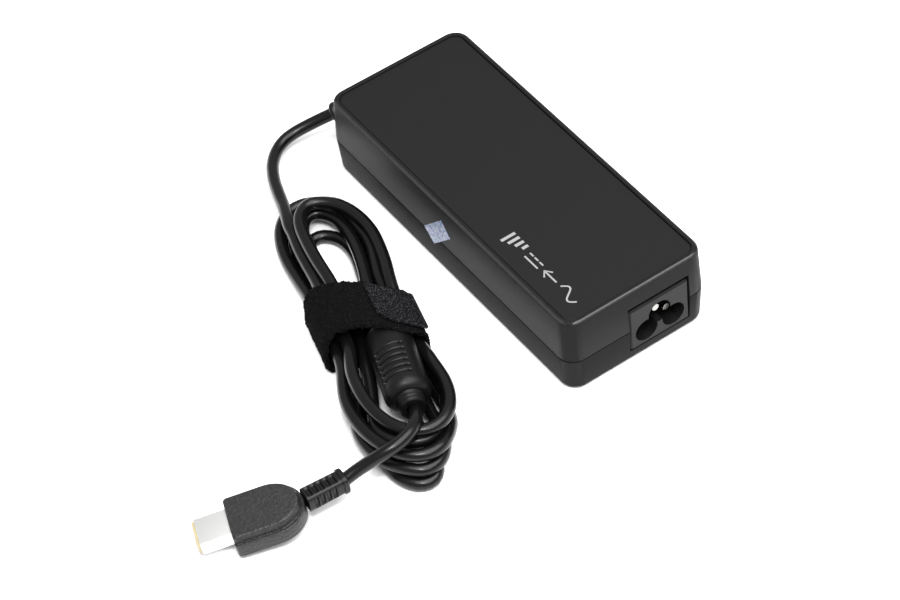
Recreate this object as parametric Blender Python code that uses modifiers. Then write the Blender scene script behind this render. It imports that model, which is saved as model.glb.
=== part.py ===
"""Laptop power adapter: a two-shell brick with its mains inlet, its power supply board and its
low-voltage lead, which is folded into a hank, held by a hook-and-loop tie and ends in a flat plug.

Frame: metres, +Z up. The origin is the bottom centre of the brick, +X points to the mains inlet
end and the hank lies on the -Y side.
"""

import math

import bmesh
import bpy
from mathutils import Matrix, Vector

GAP = 0.0003  # between pieces that touch

# Case
CASE_LENGTH = 0.128
CASE_WIDTH = 0.052
CASE_HEIGHT = 0.029
SEAM_HEIGHT = 0.013
CORNER_RADIUS = 0.0056
DRAFT = 0.0006  # how far the top and the bottom stand in from the seam
INNER_FILLET = 0.0004
FLOOR_WALL = 0.0022
ROOF_WALL = 0.0024
BOTTOM_FILLET = 0.002
TOP_FILLET = 0.0011
RIM_WIDTH = 0.0019  # between the case's edge and the sunk panel on top
PANEL_DEPTH = 0.00045  # how deep the panel's surface lies
LABEL_THICKNESS = 0.0003
LABEL_LIFT = 0.00015  # the rating label lies this far above the floor
RATING_LABEL = (0.104, 0.036)
LABEL_CORNER = 0.0027
PANEL_CORNER = 0.0035
SEAL_SIZE = (0.0138, 0.0002, 0.0063)
SEAL_MIDDLE = (-0.0037, 0.0162)  # x and z on the long side
SEAL_TILT = math.radians(45)
HALF_LENGTH = CASE_LENGTH / 2
HALF_WIDTH = CASE_WIDTH / 2

# Mains inlet (three-pin "clover" pattern, pins 10 mm apart)
INLET_Y = 0.0075
INLET_SIZE = (0.0198, 0.0219, 0.0166)
INLET_FACE_X = 0.0638
INLET_LOW_Z = 0.0044
INLET_TOP_GAP = 0.0014
PIN_SPACING = 0.010
PIN_ROW_Z = 0.00995
EARTH_RISE = 0.0045
LOBE_RADIUS = 0.0041
CAVITY_DEPTH = 0.013
PIN_RADIUS = 0.0012

# Cord, its outlet and what is on it
CORD_RADIUS = 0.00205
OUTLET = Vector((-HALF_LENGTH, -0.012, SEAM_HEIGHT))
OUTLET_RADIUS = 0.0042
SLEEVE_RADII = (0.0040, 0.0034)  # at the case and at its free end
SLEEVE_ROUTE = [
    (-0.0620, -0.0120, 0.0130),
    (-0.0660, -0.0120, 0.0130),
    (-0.0694, -0.0130, 0.0126),
    (-0.0721, -0.0154, 0.0114),
    (-0.0740, -0.0184, 0.0098),
]
LEAD_ROUTE = [
    (-0.07420, -0.01876, 0.0096),
    (-0.0770, -0.0237, 0.0070),
    (-0.0793, -0.0284, 0.0046),
    (-0.0803, -0.0331, 0.0029),
    (-0.0784, -0.0382, 0.00215),
    (-0.0737, -0.0430, 0.00215),
    (-0.0676, -0.0463, 0.00215),
    (-0.0610, -0.0487, 0.0028),
    (-0.0552, -0.0506, 0.0037),
]

# The hank lies along U, turned by this angle from +X, about this centre
HANK_CENTRE = Vector((0.0118, -0.0610, 0.0))
HANK_ANGLE = math.radians(-20.7)
HANK_BOTTOM = 0.0016
HANK_TOP = 0.0114
HANK_OUTLINE = [
    (-0.0600, -0.0050),
    (-0.0550, -0.0165),
    (-0.0410, -0.0190),
    (-0.0250, -0.0172),
    (-0.0145, -0.0147),
    (0.0070, -0.0128),
    (0.0240, -0.0160),
    (0.0420, -0.0124),
    (0.0540, -0.0060),
    (0.0582, 0.0010),
    (0.0545, 0.0080),
    (0.0470, 0.0135),
    (0.0360, 0.0164),
    (0.0220, 0.0158),
    (0.0070, 0.0128),
    (-0.0145, 0.0105),
    (-0.0300, 0.0125),
    (-0.0460, 0.0105),
    (-0.0565, 0.0045),
]
HANK_SLOT = [
    (-0.0490, -0.0035),
    (-0.0380, -0.0085),
    (-0.0200, -0.0080),
    (0.0000, -0.0050),
    (0.0200, -0.0044),
    (0.0340, -0.0044),
    (0.0430, 0.0035),
    (0.0340, 0.0121),
    (0.0200, 0.0121),
    (0.0050, 0.0112),
    (-0.0100, 0.0080),
    (-0.0300, 0.0040),
    (-0.0440, 0.0035),
]

# Ferrite choke, moulded over the lead
CHOKE_REAR = Vector((0.0166, -0.0591, 0.0099))
CHOKE_AXIS = Vector((0.9355, -0.3405, 0.0600)).normalized()
CHOKE_RADIUS = 0.0072
CHOKE_LENGTH = 0.0285
CHOKE_NECK = 0.0040
CORE_RADIUS = 0.0057
CORE_BORE = 0.0030

# Hook-and-loop tie: a band round the hank, with a hooked tab closed over it
TIE_CENTRE = Vector((0.0075, -0.0608, 0.0))
TIE_ANGLE = math.radians(-15.0)
TIE_BREADTH = 0.020
TIE_THICKNESS = 0.0012
TIE_HALF_WIDTH = 0.0156
TIE_TOP = 0.0190
TAB_THICKNESS = 0.0010
TAB_BREADTH = 0.0165
TAB_SET_BACK = -0.0006  # the tab's middle, behind the band's middle
TAB_ROOT_Z = 0.0070
TAB_END_SIDE = 0.0030  # how far the tab's free end stands to the right of the middle

LEAD_TO_PLUG_ROUTE = [
    (0.0473, -0.0700, 0.0117),
    (0.0507, -0.0716, 0.0136),
    (0.0541, -0.0744, 0.0148),
    (0.0564, -0.0780, 0.0152),
    (0.0574, -0.0822, 0.0150),
    (0.0570, -0.0864, 0.0141),
    (0.0556, -0.0906, 0.0120),
    (0.0543, -0.0946, 0.0100),
    (0.05375, -0.0983, 0.0086),
]

# Plug: a flat paddle with a rectangular metal tip. Its front edge rests on the floor, and the
# lead holds its back up. PLUG_FRONT is where the tip's axis meets the paddle's front face.
PLUG_FRONT = Vector((0.04475, -0.1336, 0.0050))
PLUG_HEADING = math.radians(-110.0)
PLUG_NOSE_DOWN = math.radians(7.0)
PLUG_ROLL = math.radians(3.0)
PADDLE_LENGTH = 0.0225
PADDLE_WIDTH = 0.0188
PADDLE_BASE = 0.0048
PADDLE_TOP = 0.0074
PAD_STEP = 0.0011
TIP_WIDTH = 0.0110
TIP_HEIGHT = 0.0045
TIP_OUT = 0.0095
TIP_IN = 0.0050
TIP_AXIS_Z = 0.0040
SHELL_WALL = 0.0004
INSERT_WALL = 0.0007
CENTRE_PIN_RADIUS = 0.0006
BOOT_END = Vector((0.0537, -0.0992, 0.0082))
BOOT_RADIUS = 0.0034
BOOT_RIBS = 6
RIB_DEPTH = 0.0008

# Circuit board and what stands on it
BOARD_LOW = 0.0043
BOARD_THICKNESS = 0.0016
BOARD_TOP = BOARD_LOW + BOARD_THICKNESS
DECK = BOARD_TOP + GAP
BOARD_OUTLINE = [
    (-0.0572, -0.0218),
    (0.0580, -0.0218),
    (0.0580, -0.0041),
    (0.0436, -0.0041),
    (0.0436, 0.0218),
    (-0.0572, 0.0218),
]
POSTS = [(-0.054, -0.0185), (-0.054, 0.0185), (0.054, -0.0185), (0.0405, 0.0190)]
POST_RADIUS = 0.002
SPREADER_TOP = 0.0263
SPREADER_THICKNESS = 0.0008
FILM_THICKNESS = 0.0003
SINK_METAL = (0.72, 0.73, 0.74)

PARTS = None
CUTTERS = None


def start_scene():
    """Empties the file and makes the two collections."""
    global PARTS, CUTTERS
    for old in list(bpy.data.objects):
        bpy.data.objects.remove(old, do_unlink=True)
    PARTS = bpy.data.collections.new("laptop_power_adapter")
    CUTTERS = bpy.data.collections.new("cutters")
    for collection in (PARTS, CUTTERS):
        bpy.context.scene.collection.children.link(collection)


def material(name, colour, roughness, metallic=0.0):
    made = bpy.data.materials.new(name)
    made.use_nodes = True
    shader = made.node_tree.nodes["Principled BSDF"]
    shader.inputs["Base Color"].default_value = (*colour, 1.0)
    shader.inputs["Roughness"].default_value = roughness
    shader.inputs["Metallic"].default_value = metallic
    return made


def finish(obj, colour, roughness, metallic=0.0, smooth=False):
    """Gives a part its own material and, on round pieces, smooth shading."""
    obj.data.materials.clear()
    obj.data.materials.append(material(obj.name, colour, roughness, metallic))
    if smooth:
        obj.data.shade_smooth()
        obj.data.set_sharp_from_angle(angle=math.radians(40))
    return obj


def mesh_object(name, bm):
    mesh = bpy.data.meshes.new(name)
    bm.to_mesh(mesh)
    bm.free()
    obj = bpy.data.objects.new(name, mesh)
    PARTS.objects.link(obj)
    return obj


def as_cutter(obj):
    """Moves a tool shape out of the parts, so that it is only a guide."""
    PARTS.objects.unlink(obj)
    CUTTERS.objects.link(obj)
    obj.hide_render = True
    obj.display_type = "WIRE"
    return obj


def boolean(obj, tool, operation="DIFFERENCE"):
    modifier = obj.modifiers.new(tool.name, "BOOLEAN")
    modifier.operation = operation
    modifier.solver = "EXACT"
    modifier.object = as_cutter(tool)


def bevel(obj, width, segments=2, angle=30):
    modifier = obj.modifiers.new("bevel", "BEVEL")
    modifier.width = width
    modifier.segments = segments
    modifier.limit_method = "ANGLE"
    modifier.angle_limit = math.radians(angle)
    return modifier


def box(name, low, high):
    """A box between two corners."""
    bm = bmesh.new()
    bmesh.ops.create_cube(bm, size=1.0)
    size = [b - a for a, b in zip(low, high)]
    middle = [(a + b) / 2 for a, b in zip(low, high)]
    bmesh.ops.scale(bm, vec=size, verts=bm.verts)
    bmesh.ops.translate(bm, vec=middle, verts=bm.verts)
    return mesh_object(name, bm)


def cylinder(name, start, end, radius, sides=24):
    """A cylinder from one point to another."""
    start, end = Vector(start), Vector(end)
    bm = bmesh.new()
    bmesh.ops.create_cone(
        bm, cap_ends=True, segments=sides, radius1=radius, radius2=radius, depth=(end - start).length
    )
    turn = (end - start).to_track_quat("Z", "Y").to_matrix().to_4x4()
    bmesh.ops.transform(bm, matrix=Matrix.Translation((start + end) / 2) @ turn, verts=bm.verts)
    return mesh_object(name, bm)


def turned(name, profile, closed=False, steps=24):
    """Turns a profile of (radius, height) about Z; it runs down its outer side."""
    bm = bmesh.new()
    points = [bm.verts.new((radius, 0, height)) for radius, height in profile]
    for a, b in zip(points, points[1:]):
        bm.edges.new((a, b))
    if closed:
        bm.edges.new((points[-1], points[0]))
    obj = mesh_object(name, bm)
    screw = obj.modifiers.new("turn", "SCREW")
    screw.axis = "Z"
    screw.angle = math.tau
    screw.steps = steps
    screw.render_steps = steps
    screw.use_merge_vertices = True
    screw.merge_threshold = 0.00001
    return obj


def point_along(obj, start, direction):
    """Moves a turned piece to a point, with its axis along a direction."""
    obj.location = start
    obj.rotation_mode = "QUATERNION"
    obj.rotation_quaternion = Vector(direction).to_track_quat("Z", "Y")
    return obj


def ring_points(half_x, half_y, radius, z, corner_steps=5):
    """A rounded rectangle, counter-clockwise seen from above."""
    points = []
    for corner, (sx, sy) in enumerate(((1, 1), (-1, 1), (-1, -1), (1, -1))):
        for step in range(corner_steps + 1):
            angle = math.pi / 2 * (corner + step / corner_steps)
            x = sx * (half_x - radius) + radius * math.cos(angle)
            y = sy * (half_y - radius) + radius * math.sin(angle)
            points.append((x, y, z))
    return points


def skin_rings(bm, rings):
    """Joins rings of equal point counts into one surface, and returns the rings' vertices."""
    made = [[bm.verts.new(point) for point in ring] for ring in rings]
    for low, high in zip(made, made[1:]):
        for i in range(len(low)):
            j = (i + 1) % len(low)
            bm.faces.new((low[i], low[j], high[j], high[i]))
    return made


def rounded_block(name, half_x, half_y, radius, low, high):
    """A block with round vertical corners."""
    bm = bmesh.new()
    rings = [ring_points(half_x, half_y, radius, z) for z in (low, high)]
    made = skin_rings(bm, rings)
    bm.faces.new(list(reversed(made[0])))
    bm.faces.new(made[1])
    return mesh_object(name, bm)


def closed_spline(curve, points, smooth):
    kind = "BEZIER" if smooth else "POLY"
    spline = curve.splines.new(kind)
    knots = spline.bezier_points if smooth else spline.points
    knots.add(len(points) - 1)
    for knot, (x, y) in zip(knots, points):
        if smooth:
            knot.co = (x, y, 0)
            knot.handle_left_type = "AUTO"
            knot.handle_right_type = "AUTO"
        else:
            knot.co = (x, y, 0, 1)
    spline.use_cyclic_u = True


def slab(name, outlines, low, high, smooth=False, steps=4):
    """A flat outline, with any holes, raised between two heights."""
    curve = bpy.data.curves.new(name, "CURVE")
    curve.dimensions = "2D"
    curve.fill_mode = "BOTH"
    curve.extrude = (high - low) / 2
    curve.resolution_u = steps
    curve.render_resolution_u = steps
    for outline in outlines:
        closed_spline(curve, outline, smooth)
    obj = bpy.data.objects.new(name, curve)
    obj.location = (0, 0, (low + high) / 2)
    PARTS.objects.link(obj)
    return curve_to_mesh(obj)


def curve_to_mesh(obj):
    """Replaces a curve by its mesh, with the caps welded on."""
    bpy.context.view_layer.update()
    name = obj.name
    evaluated = obj.evaluated_get(bpy.context.evaluated_depsgraph_get())
    mesh = bpy.data.meshes.new_from_object(evaluated)
    bm = bmesh.new()
    bm.from_mesh(mesh)
    bmesh.ops.remove_doubles(bm, verts=bm.verts, dist=0.000002)
    bmesh.ops.recalc_face_normals(bm, faces=bm.faces)
    bm.to_mesh(mesh)
    bm.free()
    made = bpy.data.objects.new(name + "_mesh", mesh)
    made.matrix_world = obj.matrix_world.copy()
    PARTS.objects.link(made)
    bpy.data.objects.remove(obj, do_unlink=True)
    made.name = name
    return made


def smooth_route(points, spacing):
    """Points about one spacing apart on the Catmull-Rom curve through the given ones."""
    knots = [Vector(p) for p in points]
    before = knots[0] * 2 - knots[1]
    after = knots[-1] * 2 - knots[-2]
    line = [before, *knots, after]
    route = []
    for a, b, c, d in zip(line, line[1:], line[2:], line[3:]):
        count = max(1, round((c - b).length / spacing))
        for step in range(count):
            t = step / count
            route.append(
                ((b * 2) + (c - a) * t + (a * 2 - b * 5 + c * 4 - d) * t**2
                 + (b * 3 - a - c * 3 + d) * t**3) / 2
            )
    route.append(knots[-1])
    return route


def tube(name, route, radii, resolution=2):
    """A round tube along a route, its radius given at each point."""
    curve = bpy.data.curves.new(name, "CURVE")
    curve.dimensions = "3D"
    curve.bevel_depth = 1.0
    curve.bevel_resolution = resolution
    curve.use_fill_caps = True
    spline = curve.splines.new("POLY")
    spline.points.add(len(route) - 1)
    for knot, place, radius in zip(spline.points, route, radii):
        knot.co = (*place, 1)
        knot.radius = radius
    obj = bpy.data.objects.new(name, curve)
    PARTS.objects.link(obj)
    return obj


# Case ---------------------------------------------------------------------------------------


def case_shell(name, levels, wall):
    """A drafted tray: down its outside from the closed end to the seam, and back up its inside."""
    flat = levels[0][1]
    inward = 1 if flat < SEAM_HEIGHT else -1
    seam = SEAM_HEIGHT - inward * GAP / 2
    inner_flat = flat + inward * wall
    levels = [
        *levels,
        (0.0, seam),
        (wall, seam),
        (wall + DRAFT, inner_flat + inward * INNER_FILLET),
        (wall + DRAFT + INNER_FILLET, inner_flat),
    ]
    rings = [
        ring_points(HALF_LENGTH - inset, HALF_WIDTH - inset, max(CORNER_RADIUS - inset / 2, 0.002), z)
        for inset, z in levels
    ]
    bm = bmesh.new()
    made = skin_rings(bm, rings)
    bm.faces.new(list(reversed(made[0])))
    bm.faces.new(made[-1])
    bmesh.ops.recalc_face_normals(bm, faces=bm.faces)
    return mesh_object(name, bm)


def fillet_levels(edge_z, radius, up):
    """(inset, height) down a quarter round, from the flat face to the side."""
    levels = []
    for step in range(5):
        angle = math.pi / 2 * step / 4
        inset = DRAFT + radius * (1 - math.sin(angle))
        rise = radius * (1 - math.cos(angle))
        levels.append((inset, edge_z + rise if up else edge_z - rise))
    return levels


def inlet_opening():
    """The cut-out round the mains inlet, wide of it by a gap and open above it."""
    half = INLET_SIZE[1] / 2 + GAP
    return box(
        "inlet_opening",
        (INLET_FACE_X - 0.010, INLET_Y - half, INLET_LOW_Z - GAP),
        (HALF_LENGTH + 0.002, INLET_Y + half, INLET_LOW_Z + INLET_SIZE[2] + INLET_TOP_GAP),
    )


def outlet_opening():
    start = (-HALF_LENGTH - 0.002, OUTLET.y, OUTLET.z)
    end = (-HALF_LENGTH + 0.006, OUTLET.y, OUTLET.z)
    return cylinder("outlet_opening", start, end, OUTLET_RADIUS)


def make_bottom_case():
    levels = fillet_levels(0.0, BOTTOM_FILLET, up=True)
    obj = case_shell("bottom_case", levels, FLOOR_WALL)
    for i, (x, y) in enumerate(POSTS):
        foot, head = (x, y, FLOOR_WALL / 2), (x, y, BOARD_LOW - GAP)
        boolean(obj, cylinder(f"board_post_{i}", foot, head, POST_RADIUS, 12), "UNION")
    boolean(obj, inlet_opening())
    boolean(obj, outlet_opening())
    half_x, half_y = (side / 2 + GAP for side in RATING_LABEL)
    depth = LABEL_LIFT + LABEL_THICKNESS + GAP
    boolean(obj, rounded_block("label_recess", half_x, half_y, LABEL_CORNER + GAP, -0.001, depth))
    return finish(obj, (0.018, 0.018, 0.019), 0.45, smooth=True)


def make_top_cover():
    levels = fillet_levels(CASE_HEIGHT, TOP_FILLET, up=False)
    obj = case_shell("top_cover", levels, ROOF_WALL)
    boolean(obj, inlet_opening())
    boolean(obj, outlet_opening())
    half_x = HALF_LENGTH - DRAFT - RIM_WIDTH
    half_y = HALF_WIDTH - DRAFT - RIM_WIDTH
    floor = CASE_HEIGHT - PANEL_DEPTH - LABEL_THICKNESS - GAP
    high = CASE_HEIGHT + 0.001
    boolean(obj, rounded_block("panel_recess", half_x, half_y, PANEL_CORNER, floor, high))
    return finish(obj, (0.018, 0.018, 0.019), 0.42, smooth=True)


def make_labels():
    half_x = HALF_LENGTH - DRAFT - RIM_WIDTH - GAP
    half_y = HALF_WIDTH - DRAFT - RIM_WIDTH - GAP
    high = CASE_HEIGHT - PANEL_DEPTH
    low = high - LABEL_THICKNESS
    top = rounded_block("top_label", half_x, half_y, PANEL_CORNER - GAP, low, high)
    finish(top, (0.030, 0.030, 0.031), 0.55)
    half_x, half_y = (side / 2 for side in RATING_LABEL)
    high = LABEL_LIFT + LABEL_THICKNESS
    rating = rounded_block("rating_label", half_x, half_y, LABEL_CORNER, LABEL_LIFT, high)
    finish(rating, (0.55, 0.56, 0.57), 0.5)


def make_seal_sticker():
    """A small strip stuck across the seam on the long side."""
    length, thickness, width = SEAL_SIZE
    obj = box("seal_sticker", (-length / 2, 0, -width / 2), (length / 2, thickness, width / 2))
    obj.location = (SEAL_MIDDLE[0], -HALF_WIDTH - GAP - thickness, SEAL_MIDDLE[1])
    obj.rotation_euler = (0, -SEAL_TILT, 0)
    finish(obj, (0.33, 0.42, 0.50), 0.3, 0.5)


# Mains inlet ----------------------------------------------------------------------------------


def pin_places():
    """Name, y and z of each of the inlet's three pins."""
    return (
        ("line_pin", INLET_Y - PIN_SPACING / 2, PIN_ROW_Z),
        ("neutral_pin", INLET_Y + PIN_SPACING / 2, PIN_ROW_Z),
        ("earth_pin", INLET_Y, PIN_ROW_Z + EARTH_RISE),
    )


def make_inlet():
    depth, width, height = INLET_SIZE
    back = INLET_FACE_X - depth
    low = (back, INLET_Y - width / 2, INLET_LOW_Z)
    high = (INLET_FACE_X, INLET_Y + width / 2, INLET_LOW_Z + height)
    obj = box("inlet_body", low, high)
    bevel(obj, 0.0006, 1)
    floor, mouth = INLET_FACE_X - CAVITY_DEPTH, INLET_FACE_X + 0.001
    for name, y, z in pin_places():
        boolean(obj, cylinder(name + "_lobe", (floor, y, z), (mouth, y, z), LOBE_RADIUS))
        hole = PIN_RADIUS + GAP
        boolean(obj, cylinder(name + "_hole", (back - 0.001, y, z), (floor + 0.001, y, z), hole, 16))
    finish(obj, (0.012, 0.012, 0.013), 0.4)
    for name, y, z in pin_places():
        earth = name == "earth_pin"
        tip = INLET_FACE_X - (0.0020 if earth else 0.0036)
        tail = back - (0.0026 if earth else 0.0014)
        pin = cylinder(name, (tail, y, z), (tip, y, z), PIN_RADIUS, 16)
        leg = cylinder(name + "_leg", (tail + 0.0006, y, z), (tail + 0.0006, y, DECK), 0.0006, 8)
        boolean(pin, leg, "UNION")
        finish(pin, (0.75, 0.72, 0.66), 0.25, 1.0, smooth=True)


# Board and components -------------------------------------------------------------------------


def make_board():
    board = slab("circuit_board", [BOARD_OUTLINE], BOARD_LOW, BOARD_TOP)
    finish(board, (0.05, 0.16, 0.07), 0.5)


def lining(name, half_y, low, high, thickness, length, closed_low):
    """A folded sheet: one flat face with two sides, closed at its low or its high edge."""
    flat = low if closed_low else high
    rim = high if closed_low else low
    section = [(-half_y, rim), (-half_y, flat), (half_y, flat), (half_y, rim)]
    bm = bmesh.new()
    ends = [[bm.verts.new((x, y, z)) for y, z in section] for x in length]
    for i in range(3):
        bm.faces.new((ends[0][i], ends[0][i + 1], ends[1][i + 1], ends[1][i]))
    obj = mesh_object(name, bm)
    sheet = obj.modifiers.new("sheet", "SOLIDIFY")
    sheet.thickness = thickness
    sheet.offset = 0
    sheet.use_even_offset = True
    return obj


def make_linings():
    film = lining(
        "insulation_sheet", 0.0225, 0.0027, 0.0126, FILM_THICKNESS, (-0.0500, 0.0360), closed_low=True
    )
    finish(film, (0.62, 0.60, 0.52), 0.35)
    spreader = lining(
        "heat_spreader", 0.0222, 0.0137, SPREADER_TOP - SPREADER_THICKNESS / 2, SPREADER_THICKNESS,
        (-0.0560, 0.0400), closed_low=False,
    )
    finish(spreader, (0.78, 0.78, 0.79), 0.3, 1.0)


def wound_core(core_name, winding_name, centre, size, post, window):
    """A closed ferrite core on a round middle post, with its winding in the window."""
    x, y = centre
    sx, sy, sz = size
    core = box(core_name, (x - sx / 2, y - sy / 2, DECK), (x + sx / 2, y + sy / 2, DECK + sz))
    reach = sx / 2 - 0.0025
    middle = DECK + sz / 2
    ring = [
        (reach, middle + window / 2),
        (reach, middle - window / 2),
        (post, middle - window / 2),
        (post, middle + window / 2),
    ]
    space = turned(core_name + "_window", ring, closed=True)
    space.location = (x, y, 0)
    boolean(core, space)
    finish(core, (0.06, 0.06, 0.065), 0.5)
    inner, outer, half = post + GAP, reach - GAP, window / 2 - GAP
    wires = turned(
        winding_name,
        [(outer, half), (outer, -half), (inner, -half), (inner, half)],
        closed=True,
    )
    wires.location = (x, y, middle)
    finish(wires, (0.65, 0.52, 0.10), 0.45, smooth=True)


def standing_can(name, centre, radius, height, colour):
    """A radial capacitor standing on the board, with its rolled groove."""
    profile = [
        (0, height),
        (radius * 0.86, height),
        (radius, height - 0.0006),
        (radius, 0.0028),
        (radius - 0.0004, 0.0022),
        (radius, 0.0016),
        (radius, 0.0004),
        (radius * 0.9, 0),
        (0, 0),
    ]
    can = turned(name, profile, steps=20)
    can.location = (*centre, DECK)
    finish(can, colour, 0.35, smooth=True)


def block(name, centre, size, colour, roughness=0.45, metallic=0.0, edge=0.0004, low=DECK):
    """A box-shaped component standing on the board."""
    x, y = centre
    sx, sy, sz = size
    obj = box(name, (x - sx / 2, y - sy / 2, low), (x + sx / 2, y + sy / 2, low + sz))
    bevel(obj, edge, 1)
    return finish(obj, colour, roughness, metallic)


def disc(name, centre, radius, thickness, colour):
    """A ceramic disc standing on its edge, facing along Y."""
    x, y = centre
    z = DECK + radius
    obj = cylinder(name, (x, y - thickness / 2, z), (x, y + thickness / 2, z), radius, 20)
    bevel(obj, thickness * 0.3, 2)
    finish(obj, colour, 0.4, smooth=True)


def make_components():
    fuse_z = DECK + 0.0027
    fuse = cylinder("fuse", (0.0470, -0.0188, fuse_z), (0.0575, -0.0188, fuse_z), 0.0026, 16)
    finish(fuse, (0.75, 0.74, 0.70), 0.25, smooth=True)
    disc("inrush_thermistor", (0.0500, -0.0105), 0.0050, 0.0042, (0.03, 0.10, 0.05))
    block("x_capacitor", (0.0325, -0.0170), (0.0160, 0.0080, 0.0130), (0.62, 0.50, 0.05))
    disc("y_capacitor", (0.0330, -0.0090), 0.0040, 0.0034, (0.05, 0.16, 0.42))
    wound_core(
        "line_choke_core", "line_choke_winding", (0.0320, 0.0080), (0.0170, 0.0090, 0.0155),
        0.0025, 0.0095,
    )
    block("bridge_rectifier", (0.0160, 0.0035), (0.0150, 0.0035, 0.0110), (0.02, 0.02, 0.02))
    bulk = turned(
        "bulk_capacitor",
        [(0, 0.026), (0.0070, 0.026), (0.0079, 0.0252), (0.0079, 0.0034), (0.0073, 0.0027),
         (0.0079, 0.0020), (0.0079, 0.0006), (0.0070, 0), (0, 0)],
        steps=28,
    )
    point_along(bulk, (-0.0040, -0.0128, DECK + 0.0080), (1, 0, 0))
    finish(bulk, (0.04, 0.05, 0.09), 0.35, smooth=True)
    block("primary_heat_sink", (0.0120, 0.0202), (0.0240, 0.0015, 0.0165), SINK_METAL, 0.35, 1.0)
    block("switching_transistor", (0.0120, 0.0168), (0.0100, 0.0045, 0.0150), (0.02, 0.02, 0.02))
    wound_core(
        "transformer_core", "transformer_winding", (-0.0200, 0.0010), (0.0250, 0.0150, 0.0172),
        0.0038, 0.0104,
    )
    block(
        "thermal_pad", (-0.0200, 0.0010), (0.0240, 0.0140, 0.0014), (0.45, 0.52, 0.55), 0.8,
        edge=0.0002, low=DECK + 0.0172 + GAP,
    )
    block("optocoupler", (-0.0200, -0.0170), (0.0065, 0.0046, 0.0035), (0.85, 0.85, 0.82))
    block("controller_chip", (-0.0110, -0.0190), (0.0050, 0.0040, 0.0016), (0.02, 0.02, 0.02))
    block("secondary_heat_sink", (-0.0460, 0.0202), (0.0200, 0.0015, 0.0165), SINK_METAL, 0.35, 1.0)
    block("output_rectifier", (-0.0460, 0.0168), (0.0100, 0.0045, 0.0150), (0.02, 0.02, 0.02))
    standing_can("output_capacitor_1", (-0.0420, -0.0155), 0.0050, 0.0160, (0.03, 0.10, 0.09))
    standing_can("output_capacitor_2", (-0.0420, -0.0040), 0.0050, 0.0160, (0.03, 0.10, 0.09))
    choke = turned(
        "output_choke",
        [(0.0052, 0.0066), (0.0060, 0.0058), (0.0060, 0.0008), (0.0052, 0), (0.0034, 0),
         (0.0026, 0.0008), (0.0026, 0.0058), (0.0034, 0.0066)],
        closed=True,
        steps=20,
    )
    choke.location = (-0.0460, 0.0080, DECK)
    finish(choke, (0.60, 0.30, 0.10), 0.4, smooth=True)


# Lead, hank, choke, tie and plug --------------------------------------------------------------


def make_gland():
    """A clamped flange inside the case, a tapered, bending sleeve outside it and the inner wires."""
    route = smooth_route(SLEEVE_ROUTE, 0.0015)
    last = len(route) - 1
    thick, thin = SLEEVE_RADII
    radii = [thick + (thin - thick) * i / last for i in range(last + 1)]
    sleeve = curve_to_mesh(tube("cord_gland", route, radii, resolution=3))
    inner_face = -HALF_LENGTH + DRAFT + FLOOR_WALL
    flange = cylinder(
        "gland_flange",
        (inner_face + 2 * GAP, OUTLET.y, OUTLET.z),
        (inner_face + 2 * GAP + 0.0016, OUTLET.y, OUTLET.z),
        0.0056,
    )
    neck = cylinder(
        "gland_neck",
        (-HALF_LENGTH + 0.0010, OUTLET.y, OUTLET.z),
        (inner_face + 0.0010, OUTLET.y, OUTLET.z),
        OUTLET_RADIUS - GAP,
    )
    boolean(sleeve, neck, "UNION")
    boolean(sleeve, flange, "UNION")
    finish(sleeve, (0.015, 0.015, 0.016), 0.5, smooth=True)
    wires = [
        (inner_face + 0.0028, OUTLET.y, OUTLET.z),
        (-0.0565, OUTLET.y, 0.0127),
        (-0.0545, OUTLET.y, 0.0110),
        (-0.0538, OUTLET.y, 0.0085),
        (-0.0537, OUTLET.y, DECK),
    ]
    lead("board_lead", wires, 0.0018, 0.0018)


def lead(name, points, radius=CORD_RADIUS, spacing=0.0052):
    route = smooth_route(points, spacing)
    finish(tube(name, route, [radius] * len(route)), (0.012, 0.012, 0.013), 0.35)


def make_hank():
    obj = slab("cord_hank", [HANK_OUTLINE, HANK_SLOT], HANK_BOTTOM, HANK_TOP, smooth=True, steps=4)
    obj.location += HANK_CENTRE
    obj.rotation_euler.z = HANK_ANGLE
    finish(obj, (0.012, 0.012, 0.013), 0.35)


def make_choke():
    """The moulded cover, hollow for its ferrite core and open at both ends for the lead."""
    r, length, neck = CHOKE_RADIUS, CHOKE_LENGTH, CHOKE_NECK
    bore = CORD_RADIUS + GAP
    hollow, wall = CORE_RADIUS + GAP, 0.0022
    profile = [
        (0.0040, length + neck),
        (0.0045, length + 0.0004),
        (r - 0.0014, length),
        (r - 0.0004, length - 0.0010),
        (r, length - 0.0028),
        (r, 0.0020),
        (r - 0.0006, 0.0006),
        (r - 0.0018, 0),
        (bore, 0),
        (bore, wall),
        (hollow, wall),
        (hollow, length - wall),
        (bore, length - wall),
        (bore, length + neck),
    ]
    cover = turned("choke_cover", profile, closed=True, steps=28)
    point_along(cover, CHOKE_REAR, CHOKE_AXIS)
    finish(cover, (0.015, 0.015, 0.016), 0.45, smooth=True)
    low, high = wall + GAP, length - wall - GAP
    ring = [(CORE_RADIUS, high), (CORE_RADIUS, low), (CORE_BORE, low), (CORE_BORE, high)]
    core = turned("choke_core", ring, closed=True, steps=24)
    point_along(core, CHOKE_REAR, CHOKE_AXIS)
    finish(core, (0.07, 0.07, 0.075), 0.6, smooth=True)


def arch(inset):
    """The band's section (side, height), from the right foot over the top to the left foot."""
    points = []
    half, high = TIE_HALF_WIDTH - inset, TIE_TOP - inset
    foot = 0.0040
    for step in range(13):
        angle = math.pi * step / 12
        bulge = abs(math.sin(angle)) ** 0.6
        points.append((half * math.cos(angle), foot + (high - foot) * bulge))
    return points


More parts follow.
